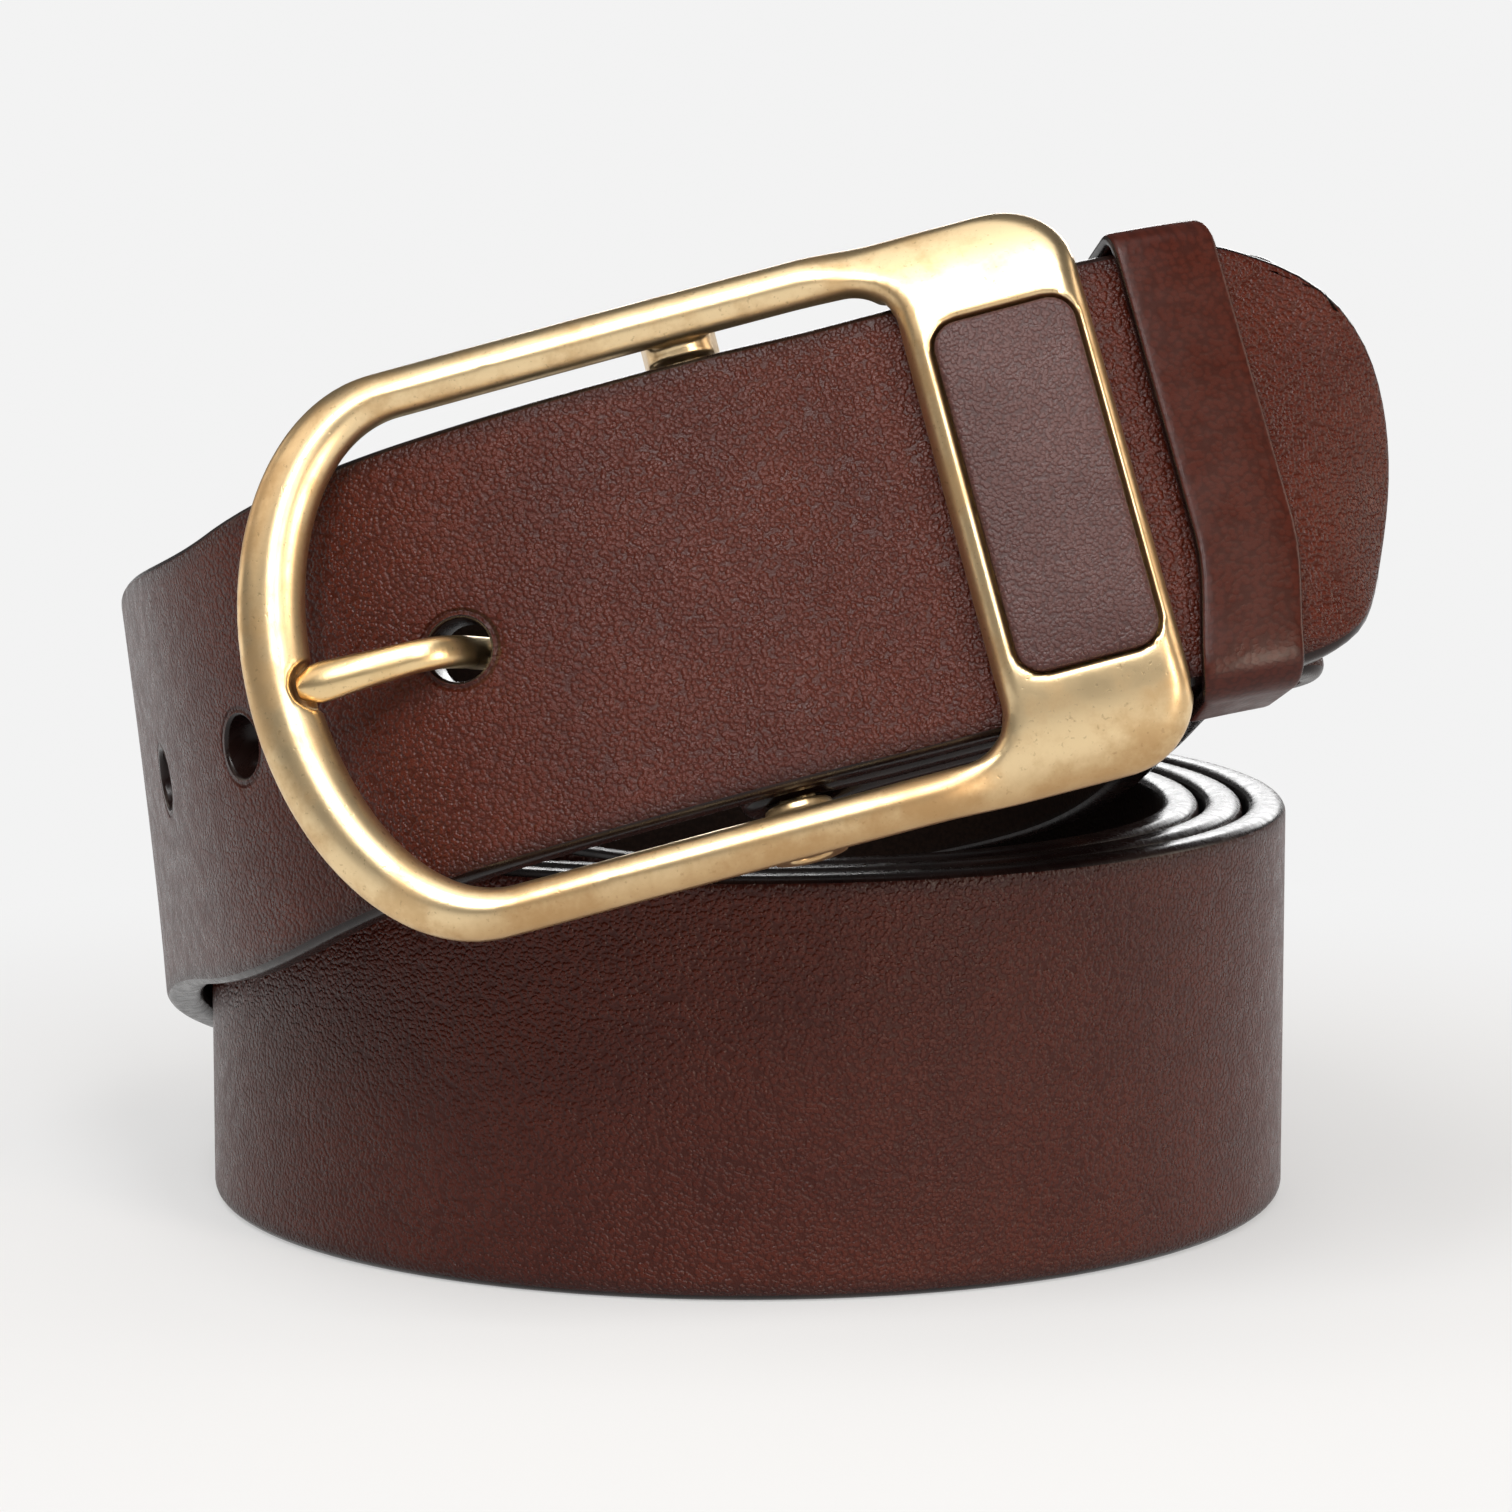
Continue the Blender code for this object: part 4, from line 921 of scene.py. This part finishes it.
# %% the brass group
brass_group, given, wanted = new_group(
    "brass_marks", [("Place", "NodeSocketVector", None), ("Cloud Size", "NodeSocketFloat", 0.006)],
    [("Clouds", "NodeSocketFloat"), ("Pits", "NodeSocketFloat"), ("Scratches", "NodeSocketFloat")])
tree = brass_group
per_cloud = math_node(tree, "DIVIDE", 1.0, given["Cloud Size"])
clouds = noise(tree, vector_node(tree, "SCALE", given["Place"], per_cloud), 1.0, 5.0, 0.65)
pits = noise(tree, given["Place"], 2600.0, 2.0)
drawn = vector_node(tree, "MULTIPLY", given["Place"], (260.0, 5200.0, 5200.0))
scratches = noise(tree, drawn, 1.0, 3.0)
for title, value in (("Clouds", clouds), ("Pits", ramp(tree, pits, 0.62, 0.75)), ("Scratches", scratches)):
    tree.links.new(value, wanted[title])
print("group:", brass_group.name)

# %% [markdown]
# ## Strap leather
# The grain side is dyed a deep oxblood brown and waxed: little shine head-on, more where it
# turns away. Round each evenly spaced hole the punch leaves a pressed ring, placed by the
# strap's own map. Toward its edges the leather was dyed again and is darker.

# %% a leather finish
def leather(name, deep, bright, pebble, bump, roughness, place):
    """The shared leather: two dyes mottled together, darker creases, pebbled bump."""
    material, tree, shader = new_material(name)
    marks = use_group(tree, grain_group, {"Place": place(tree), "Pebble Size": pebble})
    share = ramp(tree, marks["Mottle"], 0.3, 0.7)
    colour = mix_colours(tree, share, deep, bright)
    creased = math_node(tree, "MULTIPLY", marks["Creases"], 0.45)
    colour = mix_colours(tree, creased, colour, tuple(c * 0.3 for c in deep[:3]) + (1,))
    rough = ramp(tree, marks["Swell"], 0.3, 0.7, roughness - 0.05, roughness + 0.06)
    height = marks["Height"]
    bumped = node(tree, "ShaderNodeBump", {"Strength": 1.0, "Distance": bump, "Height": height})
    feed(tree, shader, {"Roughness": rough, "Normal": bumped.outputs[0], "Base Color": colour})
    shader.inputs["Specular IOR Level"].default_value = 0.22
    return material, tree, shader, {"colour": colour, "height": height, "bump": bumped}


def from_map(name):
    return lambda tree: node(tree, "ShaderNodeUVMap", uv_map=name).outputs[0]


def from_object(tree):
    return node(tree, "ShaderNodeTexCoord").outputs["Object"]


# %% strap leather
DEEP, BRIGHT = (0.052, 0.0078, 0.0034, 1), (0.066, 0.0108, 0.0046, 1)
strap_leather, tree, shader, parts = leather("oxblood_strap_leather", DEEP, BRIGHT, 0.00038, 0.00010,
                                             0.3, from_map("along_strap"))
PRESSED_RADIUS, PRESSED_BREADTH = 0.0033, 0.00035
spot = node(tree, "ShaderNodeSeparateXYZ", {0: from_map("along_strap")(tree)}).outputs
first = min(hole_lengths) * MM
pitch = HOLE_PITCH * MM
step = math_node(tree, "DIVIDE", math_node(tree, "SUBTRACT", spot[0], first), pitch)
nearest = math_node(tree, "MINIMUM", math_node(tree, "MAXIMUM", math_node(tree, "ROUND", step), 0.0),
                    HOLE_COUNT - 1.0)
along_hole = math_node(tree, "MULTIPLY", math_node(tree, "SUBTRACT", step, nearest), pitch)
across_hole = math_node(tree, "SUBTRACT", spot[1], FACE * MM)
from_hole = node(tree, "ShaderNodeCombineXYZ", {0: along_hole, 1: across_hole}).outputs[0]
distance = vector_node(tree, "LENGTH", from_hole, output="Value")
ring_off = math_node(tree, "ABSOLUTE", math_node(tree, "SUBTRACT", distance, PRESSED_RADIUS))
ring = ramp(tree, ring_off, 0.0, PRESSED_BREADTH, 1.0, 0.0)
edge_dark = ramp(tree, math_node(tree, "ABSOLUTE", across_hole), 0.0165, 0.0185, 0.0, 0.75)
pressed = math_node(tree, "MULTIPLY", ring, 0.6)
colour = mix_colours(tree, pressed, parts["colour"], (0.02, 0.005, 0.004, 1))
colour = mix_colours(tree, edge_dark, colour, (0.022, 0.006, 0.005, 1))
tree.links.new(colour, shader.inputs["Base Color"])
height = math_node(tree, "SUBTRACT", parts["height"], math_node(tree, "MULTIPLY", ring, 3.0))
tree.links.new(height, parts["bump"].inputs["Height"])

# %% [markdown]
# ## Lining, painted edge and the other leathers
# The back of the strap is a smooth, matt lining leather; its near-black colour is painted
# shade for the inside of the coil, where little light reaches. Its edges are painted as dark
# in several coats, so they have a satin shine and are a little uneven. The inlay's grain is
# finer and plum brown; the keeper's is rubbed almost smooth.

# %% lining and edge
# the lining's near-black colour is painted shade for the inside of the coil
lining, tree, shader, parts = leather("lining_painted_shade", (0.006, 0.003, 0.002, 1), (0.009, 0.0045, 0.003, 1),
                                      0.0004, 0.00003, 0.6, from_map("along_strap"))
shader.inputs["Specular IOR Level"].default_value = 0.05


def painted_edge(name, place):
    material, tree, shader = new_material(name)
    vector = place(tree)
    uneven, slow = noise(tree, vector, 700.0, 3.0), noise(tree, vector, 120.0, 2.0)
    thick_paint, thin_paint = (0.005, 0.002, 0.002, 1), (0.012, 0.005, 0.004, 1)
    colour = mix_colours(tree, ramp(tree, slow, 0.35, 0.65), thick_paint, thin_paint)
    bumped = node(tree, "ShaderNodeBump", {"Strength": 1.0, "Distance": 0.000012, "Height": uneven})
    feed(tree, shader, {"Base Color": colour, "Roughness": ramp(tree, uneven, 0.3, 0.7, 0.22, 0.32),
                        "Normal": bumped.outputs[0]})
    shader.inputs["Specular IOR Level"].default_value = 0.25
    return material


strap_edge = painted_edge("black_edge_paint", from_map("along_strap"))
keeper_edge = painted_edge("keeper_edge_paint", from_map("along_keeper"))
dress(strap, strap_leather, lining, strap_edge)

# %% inlay and keeper leather
plum, tree, shader, parts = leather("plum_inlay_leather", (0.062, 0.025, 0.022, 1),
                                    (0.084, 0.038, 0.034, 1), 0.00032, 0.00004, 0.34, from_object)
dress(inlay, plum)
rubbed, tree, shader, parts = leather("rubbed_keeper_leather", (0.042, 0.0080, 0.0042, 1),
                                      (0.050, 0.0098, 0.0054, 1), 0.0005, 0.000008, 0.34,
                                      from_map("along_keeper"))
dress(keeper, rubbed, keeper_edge)

# %% [markdown]
# ## Antique brass
# The metal is satin brass; the screws are nearly black, as painted shade for the dark gap
# where they show. Corners a finger cannot reach, which ambient occlusion finds, are darker:
# partly tarnish, partly painted shade. Tarnish also lies in cloudy patches, and the frame's
# lower side is painted darker as shade; the open crests stay pale and bright.

# %% a brass finish
def brass(name, pale, deep, roughness, tarnish, occlusion=0.0022, crest=0.0):
    """Satin brass. Given a crest, painted shade darkens it from so many metres below the bar downwards."""
    material, tree, shader = new_material(name)
    marks = use_group(tree, brass_group, {"Place": from_object(tree), "Cloud Size": 0.007})
    # darker in corners that ambient occlusion finds: partly tarnish in hollows, partly painted shade, as
    # under the rails at the lugs
    ao_openness = node(tree, "ShaderNodeAmbientOcclusion", {"Distance": occlusion}, samples=8,
                       only_local=True).outputs["AO"]
    occluded_share = ramp(tree, ao_openness, 0.25, 0.85, 1.0, 0.0)
    cloudy = ramp(tree, marks["Clouds"], 0.4, 0.62, 0.0, tarnish)
    colour = mix_colours(tree, cloudy, pale, deep)
    corner_tarnish_and_shade = math_node(tree, "MULTIPLY", occluded_share, 0.85)
    colour = mix_colours(tree, corner_tarnish_and_shade, colour, (0.12, 0.065, 0.028, 1))
    in_pits = math_node(tree, "MULTIPLY", marks["Pits"], 0.35)
    colour = mix_colours(tree, in_pits, colour, (0.25, 0.15, 0.07, 1))
    # painted shade: from crest metres below the bar downwards the frame's lower side is coloured darker
    # brown, with a cloudy edge
    if crest:
        down = -(buckle_place.to_3x3() @ Vector((0, 1, 0))).normalized()
        along_down = vector_node(tree, "DOT_PRODUCT", from_object(tree), tuple(down), "Value")
        drop = math_node(tree, "SUBTRACT", along_down, down.dot(buckle_place.translation))
        lower_shade_depth = math_node(tree, "ADD", drop, math_node(tree, "MULTIPLY", marks["Clouds"], 0.004))
        painted_lower_shade = ramp(tree, lower_shade_depth, crest, crest + 0.0035, 0.0, 0.8)
        colour = mix_colours(tree, painted_lower_shade, colour, (0.40, 0.235, 0.10, 1))
    rough = ramp(tree, marks["Clouds"], 0.35, 0.7, roughness - 0.04, roughness + 0.08)
    lines = math_node(tree, "MULTIPLY", marks["Scratches"], 0.5)
    height = math_node(tree, "SUBTRACT", lines, marks["Pits"])
    bumped = node(tree, "ShaderNodeBump", {"Strength": 0.6, "Distance": 0.00001, "Height": height})
    shader.inputs["Metallic"].default_value = 1.0
    feed(tree, shader, {"Base Color": colour, "Roughness": rough, "Normal": bumped.outputs[0]})
    return material


dress(cast_frame, brass("antique_frame_brass", (0.84, 0.64, 0.37, 1), (0.56, 0.36, 0.17, 1), 0.34, 0.7,
                        crest=0.0233))
dress(prong, brass("antique_prong_brass", (0.84, 0.62, 0.33, 1), (0.58, 0.38, 0.17, 1), 0.32, 0.5, 0.0012))
dress(hinge_bar, brass("antique_bar_brass", (0.74, 0.57, 0.32, 1), (0.50, 0.34, 0.16, 1), 0.32, 0.6, 0.001))
# screws and posts nearly black: painted shade for the dark gap behind the strap where they show
screw_shade_brass = brass("screws_painted_shade_brass", (0.10, 0.07, 0.04, 1), (0.05, 0.035, 0.02, 1), 0.38, 0.6, 0.0008)
for piece in screw_pieces:
    dress(piece, screw_shade_brass)

# %% [markdown]
# ## Floor, light and camera
# The belt stands on a pale sheet, lit like anything else near the belt and easing into the
# even tone around it further out, so no horizon shows. Leather takes soft, broad
# reflections, so the lights are large panels: two narrow ones high in front, one overhead,
# warm ones at both sides, and one low behind, whose light runs along the painted edges of
# the coil.

# %% pale floor and surround
PALE = 0.895
low, high = cad_box
bm = bmesh.new()
bmesh.ops.create_circle(bm, cap_ends=True, segments=96, radius=6.0)
bmesh.ops.translate(bm, vec=(0, 0, low.z - 0.00005), verts=bm.verts[:])
floor = make_object("pale_floor", bm)
sheet, tree, shader = new_material("pale_sheet")
away = vector_node(tree, "LENGTH", from_object(tree), output="Value")
tree.nodes.remove(shader)
matt = node(tree, "ShaderNodeBsdfDiffuse", {"Color": (0.74, 0.74, 0.74, 1)})
even = node(tree, "ShaderNodeEmission", {"Color": (PALE, PALE, PALE, 1), "Strength": 1.0})
blend = node(tree, "ShaderNodeMixShader", {0: ramp(tree, away, 0.08, 0.20, 0.5, 1.0), 1: matt.outputs[0],
             2: even.outputs[0]})
tree.links.new(blend.outputs[0], tree.nodes["Material Output"].inputs["Surface"])
dress(floor, sheet)

world = bpy.data.worlds.new("studio")
world.use_nodes = True
bpy.context.scene.world = world
tree = world.node_tree
seen = node(tree, "ShaderNodeLightPath").outputs["Is Camera Ray"]
tone = mix_colours(tree, seen, (0.11, 0.11, 0.11, 1), (PALE, PALE, PALE, 1))
tree.links.new(tone, tree.nodes["Background"].inputs["Color"])


# %% soft panels
def panel(name, azimuth, elevation, wide, tall, brightness, far=0.8, tint=(1, 1, 1), aim=(0, 0, 0.05)):
    """A soft panel seen from the belt at an azimuth (0 is the front, + is right) and elevation."""
    a, e = radians(azimuth), radians(elevation)
    aim = Vector(aim)
    out = Vector((sin(a) * cos(e), -cos(a) * cos(e), sin(e)))
    light = bpy.data.lights.new(name, "AREA")
    light.shape = "RECTANGLE"
    light.size, light.size_y = wide, tall
    light.color = tint
    light.energy = brightness * pi * wide * tall
    lamp = put(name, light)
    lamp.location = aim + out * far
    lamp.rotation_euler = (out).to_track_quat("Z", "Y").to_euler()
    lamp.visible_camera = False
    print(name, "power W", round(light.energy, 2))
    return lamp


WARM = (1.0, 0.86, 0.72)
panel("front_left_softbox", -20, 45, 0.16, 0.50, 15.0)
panel("front_right_softbox", 8, 45, 0.11, 0.50, 14.5)
panel("overhead_softbox", -20, 78, 0.70, 0.60, 1.3, far=0.9)
panel("right_softbox", 40, 9, 0.20, 0.50, 11.5, tint=WARM)
panel("far_right_panel", 105, 15, 0.40, 0.50, 2.6, tint=WARM)
panel("upper_left_panel", -72, 38, 0.50, 0.40, 1.1, tint=WARM)
panel("left_panel", -115, 14, 0.40, 0.50, 1.0, tint=WARM)
panel("back_strip", 168, 14, 0.7, 0.18, 7.0, far=1.0)
bpy.context.scene.view_settings.view_transform = "Standard"

# %% camera
data = bpy.data.cameras.new("studio_camera")
camera = put("studio_camera", data)
CAMERA_SIDE, CAMERA_FRONT, CAMERA_HEIGHT, CAMERA_TILT, FOCAL = 0.78, 520.0, 113.3, 7.85, 129.286
camera.location = coil_place @ (Vector((CAMERA_SIDE, -CAMERA_FRONT, CAMERA_HEIGHT)) * MM)
camera.rotation_euler = (radians(90 - CAMERA_TILT), 0, 0)
data.sensor_width, data.lens = 36.0, FOCAL
bpy.context.scene.camera = camera
print("camera looks down", CAMERA_TILT, "degrees")

# %% [markdown]
# The size of the imported model's box is printed. The finished belt must fill the same box
# as the imported model.

# %% print the imported size
bpy.context.view_layer.update()
print("cad size mm:", [round(c * 1000, 2) for c in cad_box[1] - cad_box[0]])
